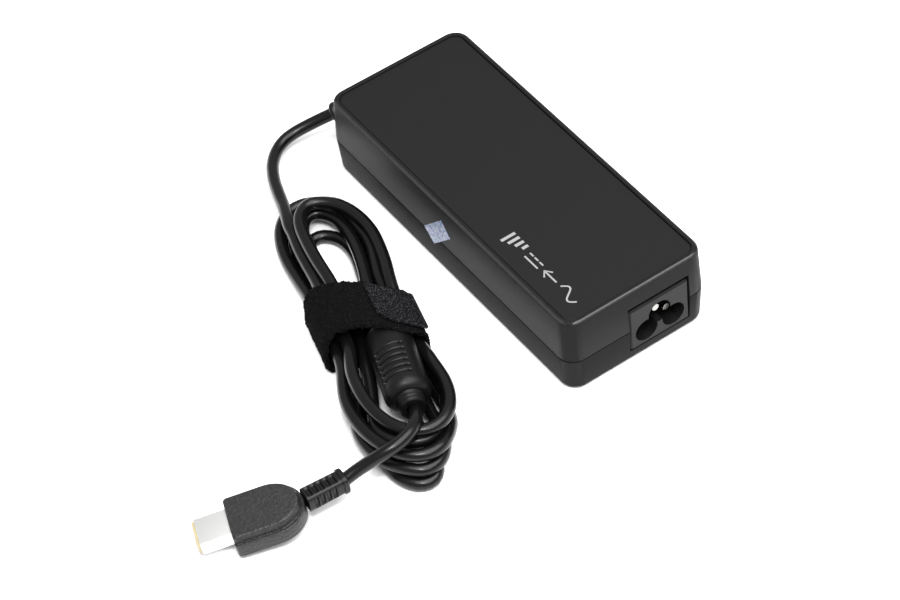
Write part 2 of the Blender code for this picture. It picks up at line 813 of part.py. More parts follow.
def band_section(inset):
    """The whole closed section: the arch, and a flat run under the cords with round corners."""
    low = inset
    side = TIE_HALF_WIDTH - inset
    corner = 0.0026
    points = arch(inset)
    for step in range(1, 5):
        angle = math.pi + math.pi / 2 * step / 4
        across, up = corner * math.cos(angle), corner * math.sin(angle)
        points.append((-side + corner + across, low + corner + up))
    for step in range(4):
        angle = 1.5 * math.pi + math.pi / 2 * step / 4
        across, up = corner * math.cos(angle), corner * math.sin(angle)
        points.append((side - corner + across, low + corner + up))
    return points


def across_tie(obj, middle):
    """Stands a slab drawn in (side, height) upright across the hank."""
    along = Matrix.Rotation(TIE_ANGLE, 4, "Z") @ Matrix.Translation((middle, 0, 0))
    upright = Matrix(((0, 0, 1, 0), (1, 0, 0, 0), (0, 1, 0, 0), (0, 0, 0, 1)))
    obj.matrix_world = Matrix.Translation(TIE_CENTRE) @ along @ upright
    return obj


def make_tie():
    half = TIE_BREADTH / 2
    band = slab("tie_band", [band_section(0.0), band_section(TIE_THICKNESS)], -half, half)
    finish(across_tie(band, 0.0), (0.008, 0.008, 0.009), 0.95)
    outer, inner = (
        [point for point in arch(inset) if point[0] > TAB_END_SIDE and point[1] > TAB_ROOT_Z]
        for inset in (-GAP - TAB_THICKNESS, -GAP)
    )
    tab = slab("tie_tab", [outer + inner[::-1]], -TAB_BREADTH / 2, TAB_BREADTH / 2)
    finish(across_tie(tab, TAB_SET_BACK), (0.020, 0.020, 0.022), 0.9)


def plug_pose():
    """Plug coordinates to world: X towards the tip, the origin under PLUG_FRONT."""
    turn = Matrix.Rotation(PLUG_HEADING, 4, "Z") @ Matrix.Rotation(PLUG_NOSE_DOWN, 4, "Y")
    turn = turn @ Matrix.Rotation(PLUG_ROLL, 4, "X")
    return Matrix.Translation(PLUG_FRONT) @ turn @ Matrix.Translation((0, 0, -TIP_AXIS_Z))


def in_plug(obj):
    obj.matrix_world = plug_pose() @ Matrix.Translation(obj.location)
    return obj


def paddle_outline(inset):
    """The paddle from above: square at the front, with cut corners, and round at the back."""
    half = PADDLE_WIDTH / 2 - inset
    length = PADDLE_LENGTH - inset
    cut = 0.0012
    points = [(0, -half + cut), (0, half - cut), (-cut, half)]
    round_back = 0.0090
    for step in range(9):
        angle = math.pi / 2 - math.pi * step / 8
        x = -(length - round_back) - round_back * math.cos(angle)
        points.append((x, half * math.sin(angle)))
    points.append((-cut, -half))
    return points


def make_plug():
    body = slab("plug_housing", [paddle_outline(0.0)], 0.0, PADDLE_BASE)
    raised = slab("plug_pad", [paddle_outline(PAD_STEP)], PADDLE_BASE - 0.001, PADDLE_TOP)
    boolean(body, in_plug(raised), "UNION")
    half_y, half_z = TIP_WIDTH / 2 + GAP, TIP_HEIGHT / 2 + GAP
    low, high = TIP_AXIS_Z - half_z, TIP_AXIS_Z + half_z
    pocket = box("tip_pocket", (-TIP_IN - GAP, -half_y, low), (0.001, half_y, high))
    boolean(body, in_plug(pocket))
    finish(in_plug(body), (0.045, 0.045, 0.047), 0.6)

    half_y, half_z = TIP_WIDTH / 2, TIP_HEIGHT / 2
    shell = box(
        "plug_shell", (-TIP_IN, -half_y, TIP_AXIS_Z - half_z), (TIP_OUT, half_y, TIP_AXIS_Z + half_z)
    )
    bevel(shell, 0.0005, 2)
    inside_y, inside_z = half_y - SHELL_WALL, half_z - SHELL_WALL
    bore = box(
        "shell_bore",
        (-TIP_IN + SHELL_WALL, -inside_y, TIP_AXIS_Z - inside_z),
        (TIP_OUT + 0.001, inside_y, TIP_AXIS_Z + inside_z),
    )
    boolean(shell, in_plug(bore))
    finish(in_plug(shell), (0.86, 0.86, 0.87), 0.2, 1.0)

    liner_y, liner_z = inside_y - GAP, inside_z - GAP
    liner = box(
        "plug_insert",
        (-TIP_IN + SHELL_WALL + GAP, -liner_y, TIP_AXIS_Z - liner_z),
        (TIP_OUT - 0.0002, liner_y, TIP_AXIS_Z + liner_z),
    )
    mouth_y, mouth_z = liner_y - INSERT_WALL, liner_z - INSERT_WALL / 2
    mouth = box(
        "insert_mouth",
        (0.0, -mouth_y, TIP_AXIS_Z - mouth_z),
        (TIP_OUT + 0.001, mouth_y, TIP_AXIS_Z + mouth_z),
    )
    boolean(liner, in_plug(mouth))
    finish(in_plug(liner), (0.80, 0.62, 0.22), 0.5)

    end = (TIP_OUT - 0.0015, 0, TIP_AXIS_Z)
    pin = cylinder("plug_centre_pin", (GAP, 0, TIP_AXIS_Z), end, CENTRE_PIN_RADIUS, 12)
    finish(in_plug(pin), (0.80, 0.78, 0.72), 0.2, 1.0, smooth=True)


def make_boot():
    """The ribbed strain relief between the lead and the paddle."""
    start = plug_pose() @ Vector((-PADDLE_LENGTH - 2 * GAP, 0, TIP_AXIS_Z))
    axis = BOOT_END - start
    length = axis.length
    pitch = length / BOOT_RIBS
    taper = 0.0004
    profile = []
    for rib in range(BOOT_RIBS):
        top = length - rib * pitch
        radius = BOOT_RADIUS - taper * (1 - rib / (BOOT_RIBS - 1))
        profile += [(radius, top), (radius, top - pitch * 0.66)]
        if rib < BOOT_RIBS - 1:
            groove = radius - RIB_DEPTH
            profile += [(groove, top - pitch * 0.68), (groove, top - pitch * 0.98)]
    profile = [(0, length), *profile, (BOOT_RADIUS, 0), (0, 0)]
    boot = turned("plug_boot", profile, steps=16)
    point_along(boot, start, axis)
    finish(boot, (0.015, 0.015, 0.016), 0.5, smooth=True)


def main():
    start_scene()
    make_bottom_case()
    make_top_cover()
    make_labels()
    make_seal_sticker()
    make_inlet()
    make_board()
    make_linings()
    make_components()
    make_gland()
    lead("lead_to_hank", LEAD_ROUTE)
    make_hank()
    make_choke()
    make_tie()
    lead("lead_to_plug", LEAD_TO_PLUG_ROUTE)
    make_boot()
    make_plug()


main()
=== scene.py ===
"""Looks for the laptop power adapter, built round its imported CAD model. Metres, +Z up."""

import math

import bmesh
import bpy
import numpy as np
from mathutils import Matrix, Vector, noise


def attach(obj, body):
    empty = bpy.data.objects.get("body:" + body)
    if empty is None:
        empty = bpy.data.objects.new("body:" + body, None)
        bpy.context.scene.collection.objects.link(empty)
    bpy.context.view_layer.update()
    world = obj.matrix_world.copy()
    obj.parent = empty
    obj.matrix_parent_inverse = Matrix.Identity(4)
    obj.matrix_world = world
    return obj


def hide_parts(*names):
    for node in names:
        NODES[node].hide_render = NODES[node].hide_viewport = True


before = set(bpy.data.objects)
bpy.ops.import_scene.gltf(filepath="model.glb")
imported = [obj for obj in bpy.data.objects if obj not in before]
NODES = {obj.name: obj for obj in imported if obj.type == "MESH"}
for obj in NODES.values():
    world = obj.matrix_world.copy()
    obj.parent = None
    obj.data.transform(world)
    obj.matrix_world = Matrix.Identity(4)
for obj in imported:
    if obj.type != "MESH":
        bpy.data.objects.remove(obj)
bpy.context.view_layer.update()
MM = 0.001
GAP = 0.0003

# Camera and light
CAMERA_ANGLES = (60.019, 47.171, -6.914)  # azimuth, elevation and roll in degrees
CAMERA_DISTANCE = 0.958611
CAMERA_SHIFT = (-0.020669, -0.019800)  # to its right, and upwards
CAMERA_LENS = 123.17  # in mm
SKY_STRENGTH = 0.62
OBJECT_MIDDLE = Vector((0.0, -0.04, 0.0))

# Case, as the CAD has it
HALF_LENGTH = 0.064
HALF_WIDTH = 0.026
CASE_HEIGHT = 0.029
SEAM_HEIGHT = 0.013
SEAM_EDGE = ((0.0, 0.00018), (0.00006, 0.00005), (0.0002, 0.0))  # how far in, and off the seam
CORNER_RADIUS = 0.0056
DRAFT = 0.0006
WALL = 0.0022
ROOF_WALL = 0.0024
BOTTOM_FILLET = 0.002
TOP_FILLET = 0.0011
INNER_FILLET = 0.0004
BOARD_POSTS = ((-0.054, -0.0185), (-0.054, 0.0185), (0.054, -0.0185), (0.0405, 0.0190))
RIM_WIDTH = 0.0019
PANEL_CORNER = 0.0035
PANEL_DEPTH = 0.00045
FILM_THICKNESS = 0.0003
INK = 0.00003
RATING_LABEL = (0.104, 0.036)
INLET_Y = 0.0075
INLET_WIDTH = 0.0219
INLET_LOW = 0.0044
INLET_OPENING_TOP = 0.0224
OUTLET = Vector((-HALF_LENGTH, -0.012, SEAM_HEIGHT))
OUTLET_RADIUS = 0.0042
SEAL_SIZE = (0.0138, 0.0063)
SEAL_MIDDLE = (-0.0037, 0.0162)  # x and z on the long side
SEAL_TILT = math.radians(45)

# Lead
CORD_RADIUS = 0.00205
CORD_STEP = 0.0020  # between its points while the strands settle
CURVE_STEP = 0.0017  # between the points of the curve that is drawn
BORE = CORD_RADIUS + 0.00012
SLEEVE_ROUTE = [
    (-0.0600, -0.0120, 0.0130),
    (-0.0660, -0.0120, 0.0130),
    (-0.0694, -0.0130, 0.0126),
    (-0.0721, -0.0154, 0.0114),
    (-0.0740, -0.0184, 0.0098),
]
INSIDE_SLEEVE = (-0.0731, -0.0170, 0.0106)  # where the lead's curve starts
LEAD_ROUTE = [
    (-0.07420, -0.01876, 0.0096),
    (-0.0765, -0.0239, 0.0076),
    (-0.0781, -0.0290, 0.0060),
    (-0.0786, -0.0339, 0.0049),
    (-0.0765, -0.0391, 0.00435),
    (-0.0717, -0.0439, 0.00445),
    (-0.0651, -0.0475, 0.00505),
    (-0.0585, -0.0499, 0.0058),
]
LEAD_TO_PLUG_ROUTE = [
    (0.0473, -0.0700, 0.0117),
    (0.0507, -0.0716, 0.0136),
    (0.0541, -0.0744, 0.0148),
    (0.0564, -0.0780, 0.0152),
    (0.0574, -0.0822, 0.0150),
    (0.0570, -0.0864, 0.0141),
    (0.0556, -0.0906, 0.0120),
    (0.0543, -0.0946, 0.0100),
    (0.05375, -0.0983, 0.0086),
]
HANK_CENTRE = Vector((0.0118, -0.0610, 0.0))
HANK_ALONG = Vector((0.9354, -0.3535, 0.0))
HANK_ACROSS = Vector((0.3535, 0.9354, 0.0))

# The hank's strands in order, in millimetres: along the hank, across it, and up
HANK_RUN = [
    # In from the brick, over the outermost loop and up through the tie
    (-63.8, -14.2, 6.5), (-60.2, -14.2, 7.2), (-57, -14.2, 7.7), (-53.4, -14.5, 8.1), (-48.5, -13.9, 8.3),
    (-40.9, -13.4, 8.3), (-33.4, -12.4, 8.3), (-26.5, -11.5, 8.6), (-20, -11.2, 9.2), (-12, -10.8, 9.8),
    (-4, -9.8, 10.5), (5.4, -8.6, 11.5),
    # The uppermost loop at the plug end
    (14, -9.8, 11.8), (18.5, -10.1, 11.9), (23.2, -9.8, 12), (28.5, -8.9, 12), (33.6, -7.3, 12.2),
    (37.8, -5.2, 12.2), (41.4, -2.2, 12.2), (43.8, 1.3, 12.2), (44.9, 5, 12.2), (44.4, 8.4, 12.2),
    (42.5, 11.2, 12), (39.5, 13.4, 11.8), (35.6, 14.8, 11.5), (30.8, 15.3, 11.1), (25.7, 15.1, 10.3),
    (20.1, 14.1, 9.5), (14.8, 13.2, 8.6), (10.2, 12.3, 7.6), (4, 11.3, 7.2), (-4, 10.3, 8),
    (-12, 10, 9.4),
    # Second turn, on top at the brick end
    (-18.4, 10, 10), (-24.5, 10.2, 10), (-31.5, 9.9, 10), (-38.7, 9.1, 10), (-45.4, 6.9, 10.3),
    (-51.4, 3.3, 10.5), (-54.9, -0.9, 10.6), (-56.4, -5.1, 10.6), (-56, -8.1, 10.7), (-53.6, -10.1, 10.8),
    (-49, -11.7, 11), (-41.2, -11.4, 11), (-33.1, -10.2, 11), (-26.4, -8.8, 10.9), (-21.6, -7.8, 10.8),
    (-14, -6.4, 9.6), (-7, -4.8, 8), (-1, -3.2, 6.6), (4.6, -3.6, 6), (10.3, -4.3, 6), (16, -4.8, 6),
    (23, -5.8, 6.4), (30, -7.2, 7.2), (36, -8, 8.4), (40.5, -6.9, 9), (44, -3.6, 9.3), (46.2, 1.3, 9.3),
    (46.6, 4.6, 9.2), (45.4, 7.6, 9), (43.1, 10.2, 8.8), (40, 12.4, 8.4), (36, 14, 7.5), (30, 14.9, 6.6),
    (24, 14.5, 6), (16.7, 13.2, 4.7), (9, 12, 3.6), (2, 11.3, 3.6), (-5, 9.6, 4.6), (-12, 8, 6.4),
    # Third turn, the outermost on the floor at the brick end
    (-21, 6.6, 7.8), (-33.1, 7.4, 8), (-40.9, 6.8, 7.5), (-47, 5, 7), (-51.5, 3.9, 6.4),
    (-56.3, 3.2, 5.6), (-60.6, 1.6, 4), (-63.6, -1.2, 2.6), (-64.9, -3.9, 2.1), (-65.6, -6.8, 2.1),
    (-65.3, -10.1, 2.1), (-63.3, -13.2, 2.1), (-60.1, -15.7, 2.1), (-56, -17.3, 2.1), (-51.6, -17.9, 2.1),
    (-46.2, -17.9, 2.1), (-40.6, -17.2, 2.1), (-33.8, -15.9, 2.6), (-24.3, -14.1, 3.6), (-14, -13.4, 4.6),
    (-6, -12.6, 6), (2, -11.8, 7), (8.6, -11.5, 7.1), (12.5, -12, 7), (18.3, -13.1, 7), (23.7, -13.5, 7),
    (28.7, -13.1, 7.4), (34.3, -11.8, 7.6), (39.7, -9.6, 7.6), (45.8, -5.8, 7.6), (49.6, -1.6, 7.7),
    (50.9, 2.8, 7.8), (49.8, 6.6, 7.8), (46.9, 9.4, 7.4), (43.2, 11.2, 6.4), (39, 12.9, 5),
    (33, 13.6, 3.4), (26, 13.1, 2.3), (19, 12.1, 2.3), (11, 9.9, 3.4), (4, 8.4, 3.6), (-4, 7.4, 3.6),
    (-12, 6.9, 3.5),
    # Fourth turn
    (-20, 6.9, 2.7), (-29, 7.4, 2.1), (-38, 7.6, 2.1), (-46, 7, 2.1), (-52.3, 4.6, 2.1), (-57, 1.4, 2.1),
    (-60, -2.4, 2.1), (-60.9, -6.2, 2.1), (-59.4, -9.8, 2.1), (-56, -12.6, 2.1), (-51, -13.8, 2.1),
    (-45, -13.9, 2.1), (-40, -13.4, 2.1), (-34, -12.6, 2.2), (-28, -11.6, 2.7), (-20, -10.5, 3.5),
    (-12, -10.2, 3.6), (-4, -10.6, 3.6), (4, -10.2, 3.2), (12, -9.8, 2.6), (18, -10, 2.2),
    (25.5, -11.2, 2.6), (30.8, -12.3, 3.3), (36.4, -11.9, 3.6), (42.4, -10, 3.6), (46.8, -7.4, 3.6),
    (50.1, -4.3, 3.6), (52.7, -0.6, 3.6), (53.7, 2.3, 3.6), (52.9, 5.6, 3.6), (50.3, 8.4, 3.5),
    (46.5, 10.1, 3.2), (42, 10.9, 2.8), (36, 10.6, 2.3), (30, 9.8, 2.1), (24, 8.9, 2.1), (18, 7.9, 2.3),
    (11, 6, 3.5), (4, 5, 4.6), (-4, 4.4, 6), (-12, 3.9, 7.2),
    # Fifth turn
    (-21.3, 3.2, 7.8), (-26.8, 3.7, 7.5), (-36.2, 3.9, 7), (-44.5, 3.2, 6.5), (-50.4, 1.7, 6.2),
    (-54.4, -0.9, 6.2), (-56.6, -4.3, 6.2), (-56.3, -7.4, 6.2), (-53.3, -9.9, 6), (-48, -10.9, 5.8),
    (-42, -10.6, 5.8), (-36, -9.9, 5.8), (-29, -8.8, 5.6), (-22, -7.7, 5.2), (-14, -6.4, 4.3),
    (-6, -5.2, 3.6), (3.8, -4.4, 3.2), (9.5, -4.7, 2.6), (15.8, -5.5, 2.1), (21.5, -6.6, 2.1),
    (29.6, -8.6, 2.1), (39.7, -9, 2.1), (47.6, -6.9, 2.1), (52.8, -4, 2.1), (55.8, -0.2, 2.1),
    (56.3, 3, 2.1), (54.8, 5.7, 2.1), (51.8, 7, 2.1), (47, 7.2, 2.1), (40, 6.9, 2.1), (34, 6, 2.1),
    (28, 5, 2.1), (20, 3.6, 2.1), (12, 2.4, 2.9), (4, 1.6, 3.6), (-4, 1.8, 3.6), (-12, 2.6, 3.6),
    # Innermost loop on the floor, then up through the tie into the choke
    (-20, 3, 3), (-27, 3.4, 2.3), (-33.2, 3.4, 2.1), (-38.1, 3.2, 2.1), (-42, 2.4, 2.1),
    (-45.4, 1.1, 2.1), (-48, -0.9, 2.1), (-49.7, -3.3, 2.1), (-50.4, -5.8, 2.1), (-49.9, -8.2, 2.1),
    (-47.6, -9.8, 2.1), (-44.4, -10, 2.1), (-40, -9.5, 2.1), (-34.8, -8.5, 2.1), (-28, -6.8, 2.6),
    (-20, -3.6, 3.4), (-12, -0.8, 5), (-5, 1.6, 7.3), (-0.5, 3, 9.2),
]

# Choke and tie
CHOKE_REAR = Vector((0.0166, -0.0591, 0.0099))
CHOKE_AXIS = Vector((0.9355, -0.3405, 0.0600)).normalized()
CHOKE_RADIUS = 0.0072
CHOKE_LENGTH = 0.0285
CHOKE_NECK = 0.0040
CORE_RADIUS = 0.0057
TIE_CENTRE = np.array((0.0075, -0.0608))
TIE_ANGLE = math.radians(-15.0)
TIE_ALONG = np.array((math.cos(TIE_ANGLE), math.sin(TIE_ANGLE)))
TIE_ACROSS = np.array((-math.sin(TIE_ANGLE), math.cos(TIE_ANGLE)))
TIE_HALF_BREADTH = 0.010
TIE_THICKNESS = 0.0013
TIE_HALF_WIDTH = 0.0156
TIE_TOP = 0.0190
TIE_FOOT = 0.0040  # where its sides start to curve over
TIE_BULGE = 0.6  # the power that rounds its top
TIE_SKEW = 0.2  # how far the band runs askew: along the hank, for each step across it
TIE_TOP_SKEW = 0.3  # and how much more over its top
TIE_TOP_SHIFT = 0.0012
PILE_STEP = 0.00026
TAB_ROOT_Z = 0.0098
TAB_END_SIDE = 0.0020  # how far its free end stands to the right of the tie's middle
TAB_RIMS = (-0.0086, 0.0070)  # along the tie, from the band's middle
HOOK_PITCH = 0.00085

# Plug
PLUG_FRONT = Vector((0.04475, -0.1336, 0.0050))
PLUG_TURN = (math.radians(-110.0), math.radians(7.0), math.radians(3.0))
PADDLE_LENGTH = 0.0225
PADDLE_WIDTH = 0.0188
PADDLE_BASE = 0.0048
PADDLE_TOP = 0.0074
PAD_STEP = 0.0011
TIP_AXIS_Z = 0.0040
TIP_WIDTH = 0.0110
TIP_HEIGHT = 0.0045
TIP_OUT = 0.0095
TIP_IN = 0.0050
LINER_OUT = 0.0009  # how far the pale insert stands out of the sleeve
BOOT_END = Vector((0.0537, -0.0992, 0.0082))
BOOT_SEGMENTS = 6


# --- Camera, lights and floor ---


def add_camera():
    azimuth, elevation, roll = (math.radians(angle) for angle in CAMERA_ANGLES)
    reach = math.cos(elevation)
    back = Vector((math.sin(azimuth) * reach, -math.cos(azimuth) * reach, math.sin(elevation)))
    level = Vector((math.cos(azimuth), math.sin(azimuth), 0))
    up = back.cross(level)
    right = math.cos(roll) * level + math.sin(roll) * up
    top = -math.sin(roll) * level + math.cos(roll) * up
    data = bpy.data.cameras.new("camera")
    data.sensor_width = 36
    data.lens = CAMERA_LENS
    data.clip_start = 0.05
    data.clip_end = 20
    camera = add_object("camera", data)
    place = CAMERA_DISTANCE * back + CAMERA_SHIFT[0] * right + CAMERA_SHIFT[1] * top
    turn = Matrix((right, top, back)).transposed().to_4x4()
    camera.matrix_world = Matrix.Translation(place) @ turn
    bpy.context.scene.camera = camera


def add_light(name, place, size, power):
    """A rectangular lamp that points at the middle of the object."""
    data = bpy.data.lights.new(name, "AREA")
    data.shape = "RECTANGLE"
    data.size, data.size_y = size
    data.energy = power
    lamp = add_object(name, data)
    lamp.location = place
    lamp.rotation_mode = "QUATERNION"
    lamp.rotation_quaternion = (Vector(place) - OBJECT_MIDDLE).to_track_quat("Z", "Y")


def add_studio():
    world = bpy.data.worlds.new("studio")
    bpy.context.scene.world = world
    world.use_nodes = True
    background = world.node_tree.nodes["Background"]
    background.inputs["Color"].default_value = (1, 1, 1, 1)
    background.inputs["Strength"].default_value = SKY_STRENGTH
    bpy.context.scene.view_settings.view_transform = "Standard"
    add_light("key", (0.35, 0.15, 1.20), (1.5, 1.3), 36)
    add_light("glint", (0.42, -0.30, 0.95), (0.18, 0.11), 4.6)
    bm = bmesh.new()
    bmesh.ops.create_grid(bm, x_segments=8, y_segments=8, size=4.0)
    floor = mesh_piece("floor", bm)
    floor.data.materials.append(
        surface("floor_paper", (0.97, 0.97, 0.97), 0.9, grain=(1.5, 0.01), mottle=(30, 0.01), specular=0.1)
    )


# --- Materials ---


def add_node(tree, kind, **values):
    """A shader node with values for its inputs, whose names have _ for each space."""
    node = tree.nodes.new("ShaderNode" + kind)
    for name, value in values.items():
        node.inputs[name.replace("_", " ")].default_value = value
    return node


def add_ramp(tree, factor, stops):
    """The colour of a ramp through (position, colour) stops, led by a factor."""
    node = add_node(tree, "ValToRGB")
    elements = node.color_ramp.elements
    for element, (place, colour) in zip(list(elements), (stops[0], stops[-1])):
        element.position, element.color = place, (*colour, 1)
    for place, colour in stops[1:-1]:
        elements.new(place).color = (*colour, 1)
    tree.links.new(factor, node.inputs["Fac"])
    return node.outputs["Color"]


def add_cells(tree, size):
    """Irregular cells of one size in mm."""
    node = add_node(tree, "TexVoronoi", Scale=1000 / size)
    tree.links.new(tree.nodes["Texture Coordinate"].outputs["Object"], node.inputs["Vector"])
    return node


def surface(
    name, colour, rough, metallic=0.0, grain=(0.25, 0.02), mottle=(5.0, 0.12), wear=0.06,
    specular=0.5, coat=0.0, scratches=0.0, bands=None,
):
    """A moulded or plain finish. grain is its size and depth in mm, mottle the size in mm and the
    share by which the colour varies, wear how far the roughness varies. bands is the axis, the
    width in mm and the depth in mm of fine ridges, which stand about one width apart."""
    made = bpy.data.materials.new(name)
    made.use_nodes = True
    tree = made.node_tree
    links = tree.links
    shader = tree.nodes["Principled BSDF"]
    shader.inputs["Metallic"].default_value = metallic
    shader.inputs["Specular IOR Level"].default_value = specular
    shader.inputs["Coat Weight"].default_value = coat
    shader.inputs["Coat Roughness"].default_value = 0.15
    place = add_node(tree, "TexCoord").outputs["Object"]

    def cloud(size, detail):
        node = add_node(tree, "TexNoise", Scale=1000 / size, Detail=detail)
        links.new(place, node.inputs["Vector"])
        return node.outputs["Fac"]

    low, high = 0.3, 0.7  # where most of the noise lies
    patch, share = mottle
    tints = [(low, [c * (1 - share) for c in colour]), (high, [min(1, c * (1 + share)) for c in colour])]
    links.new(add_ramp(tree, cloud(patch, 4), tints), shader.inputs["Base Color"])
    smooth, dull = max(0.03, rough - wear), min(1.0, rough + wear)
    spread = add_node(tree, "MapRange", From_Min=low, From_Max=high, To_Min=smooth, To_Max=dull)
    links.new(cloud(patch * 0.35, 5), spread.inputs["Value"])
    links.new(spread.outputs["Result"], shader.inputs["Roughness"])
    heights = [(cloud(grain[0], 2), grain[1])]
    if bands:
        axis, width, depth = bands
        wave = add_node(tree, "TexWave", Scale=1000 / width / math.tau, Distortion=0.4)
        wave.bands_direction = axis
        links.new(place, wave.inputs["Vector"])
        heights.append((wave.outputs["Fac"], depth))
    if scratches:
        stretch = add_node(tree, "Mapping", Rotation=(0.3, 0.5, 0.8), Scale=(60, 2500, 2500))
        links.new(place, stretch.inputs["Vector"])
        scratch = add_node(tree, "TexNoise", Scale=1.0, Detail=3)
        links.new(stretch.outputs["Vector"], scratch.inputs["Vector"])
        heights.append((scratch.outputs["Fac"], scratches))
    normal = None
    for height, depth in heights:
        bump = add_node(tree, "Bump", Distance=depth * MM)
        links.new(height, bump.inputs["Height"])
        if normal:
            links.new(normal, bump.inputs["Normal"])
        normal = bump.outputs["Normal"]
    links.new(normal, shader.inputs["Normal"])
    return made


def speckled(name, dark, light, size, cover, rough, depth):
    """Fuzzy or woven cloth: lighter specks of one size on a dark ground, over a fine relief."""
    made = surface(name, dark, rough, grain=(size, depth), mottle=(size * 3, 0.3), specular=0.06)
    tree = made.node_tree
    base = tree.nodes["Principled BSDF"].inputs["Base Color"]
    ground = base.links[0].from_socket
    soft = 0.15  # how far a speck fades at its rim
    stops = [(cover, (1, 1, 1)), (cover + soft, (0, 0, 0))]
    specks = add_ramp(tree, add_cells(tree, size).outputs["Distance"], stops)
    mix = add_node(tree, "Mix")
    mix.data_type = "RGBA"
    under, over = (socket for socket in mix.inputs if socket.type == "RGBA")
    tree.links.new(specks, mix.inputs[0])
    tree.links.new(ground, under)
    over.default_value = (*light, 1)
    tree.links.new(next(socket for socket in mix.outputs if socket.type == "RGBA"), base)
    return made


def foil(name):
    """A silvery film that breaks the light into cells of pale blue, grey and violet."""
    made = surface(name, (0.34, 0.42, 0.48), 0.35, metallic=0.3, grain=(0.3, 0.004), mottle=(1.2, 0.1))
    tree = made.node_tree
    pick = add_node(tree, "SeparateColor")
    tree.links.new(add_cells(tree, 0.75).outputs["Color"], pick.inputs["Color"])
    hues = [
        (0.0, (0.07, 0.11, 0.28)),
        (0.25, (0.20, 0.28, 0.42)),
        (0.5, (0.38, 0.44, 0.50)),
        (0.75, (0.34, 0.34, 0.58)),
        (1.0, (0.56, 0.60, 0.64)),
    ]
    base = tree.nodes["Principled BSDF"].inputs["Base Color"]
    tree.links.new(add_ramp(tree, pick.outputs["Red"], hues), base)
    return made


# --- Mesh helpers ---


def add_object(name, data):
    obj = bpy.data.objects.new(name, data)
    bpy.context.scene.collection.objects.link(obj)
    return obj


def mesh_piece(name, bm):
    mesh = bpy.data.meshes.new(name)
    bm.to_mesh(mesh)
    bm.free()
    return add_object(name, mesh)


def dress(obj, finish, slot, body="adapter", replaces=None, smooth=35):
    """Gives a new piece its finish and its place in the frame. It replaces, by hiding it, the CAD piece named
    by slot, unless others are named."""
    if obj.type == "MESH" and smooth:
        obj.data.shade_smooth()
        obj.data.set_sharp_from_angle(angle=math.radians(smooth))
    obj.data.materials.clear()
    obj.data.materials.append(finish)
    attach(obj, body)
    replaces = (slot,) if replaces is None else replaces
    if replaces:
        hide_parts(*replaces)
    return obj


def from_faces(name, points, faces):
    mesh = bpy.data.meshes.new(name)
    mesh.from_pydata(points.reshape(-1, 3).tolist(), [], faces)
    return face_outwards(add_object(name, mesh))


def skin(name, rows, wrap_rows=False):
    """A surface through closed rings of points, with a cap at each end if its rows don't wrap."""
    rows = np.asarray(rows, float)
    count, width = rows.shape[:2]
    index = np.arange(count * width).reshape(count, width)
    down = np.vstack([index, index[:1]]) if wrap_rows else index
    down = np.hstack([down, down[:, :1]])
    corners = [down[:-1, :-1], down[:-1, 1:], down[1:, 1:], down[1:, :-1]]
    faces = np.stack(corners, axis=-1).reshape(-1, 4).tolist()
    if not wrap_rows:
        faces.append(index[0][::-1].tolist())
        faces.append(index[-1].tolist())
    return from_faces(name, rows, faces)


def face_outwards(obj):
    bm = bmesh.new()
    bm.from_mesh(obj.data)
    bmesh.ops.recalc_face_normals(bm, faces=bm.faces)
    if bm.calc_volume(signed=True) < 0:
        bmesh.ops.reverse_faces(bm, faces=bm.faces)
    bm.to_mesh(obj.data)
    bm.free()
    return obj


def cut(obj, tool, operation="DIFFERENCE"):
    """Cuts a tool shape out of a piece, or joins it on, and removes the tool."""
    modifier = obj.modifiers.new("cut", "BOOLEAN")
    modifier.operation = operation
    modifier.solver = "MANIFOLD"
    modifier.object = tool
    bpy.context.view_layer.update()
    evaluated = obj.evaluated_get(bpy.context.evaluated_depsgraph_get())
    mesh = bpy.data.meshes.new_from_object(evaluated)
    obj.modifiers.clear()
    obj.data = mesh
    bpy.data.objects.remove(tool, do_unlink=True)
    return obj


def rod(name, start, end, radius, sides=64):
    start, end = Vector(start), Vector(end)
    bm = bmesh.new()
    bmesh.ops.create_cone(
        bm, cap_ends=True, segments=sides, radius1=radius, radius2=radius, depth=(end - start).length
    )
    turn = (end - start).to_track_quat("Z", "Y").to_matrix().to_4x4()
    bmesh.ops.transform(bm, matrix=Matrix.Translation((start + end) / 2) @ turn, verts=bm.verts)
    return mesh_piece(name, bm)


def brick(name, low, high):
    bm = bmesh.new()
    bmesh.ops.create_cube(bm, size=1.0)
    bmesh.ops.scale(bm, vec=[b - a for a, b in zip(low, high)], verts=bm.verts)
    bmesh.ops.translate(bm, vec=[(a + b) / 2 for a, b in zip(low, high)], verts=bm.verts)
    return mesh_piece(name, bm)


def rounded_ring(half_x, half_y, radius, z, steps=12):
    """A rounded rectangle, counter-clockwise seen from above."""
    points = []
    for corner, (sx, sy) in enumerate(((1, 1), (-1, 1), (-1, -1), (1, -1))):
        for step in range(steps + 1):
            angle = math.pi / 2 * (corner + step / steps)
            x = sx * (half_x - radius) + radius * math.cos(angle)
            y = sy * (half_y - radius) + radius * math.sin(angle)
            points.append((x, y, z))
    return points


def quarter_turn(steps, first=0):
    """The cosine and sine at even steps from 0 to 90 degrees."""
    angles = [math.pi / 2 * step / steps for step in range(first, steps + 1)]
    return [(math.cos(angle), math.sin(angle)) for angle in angles]


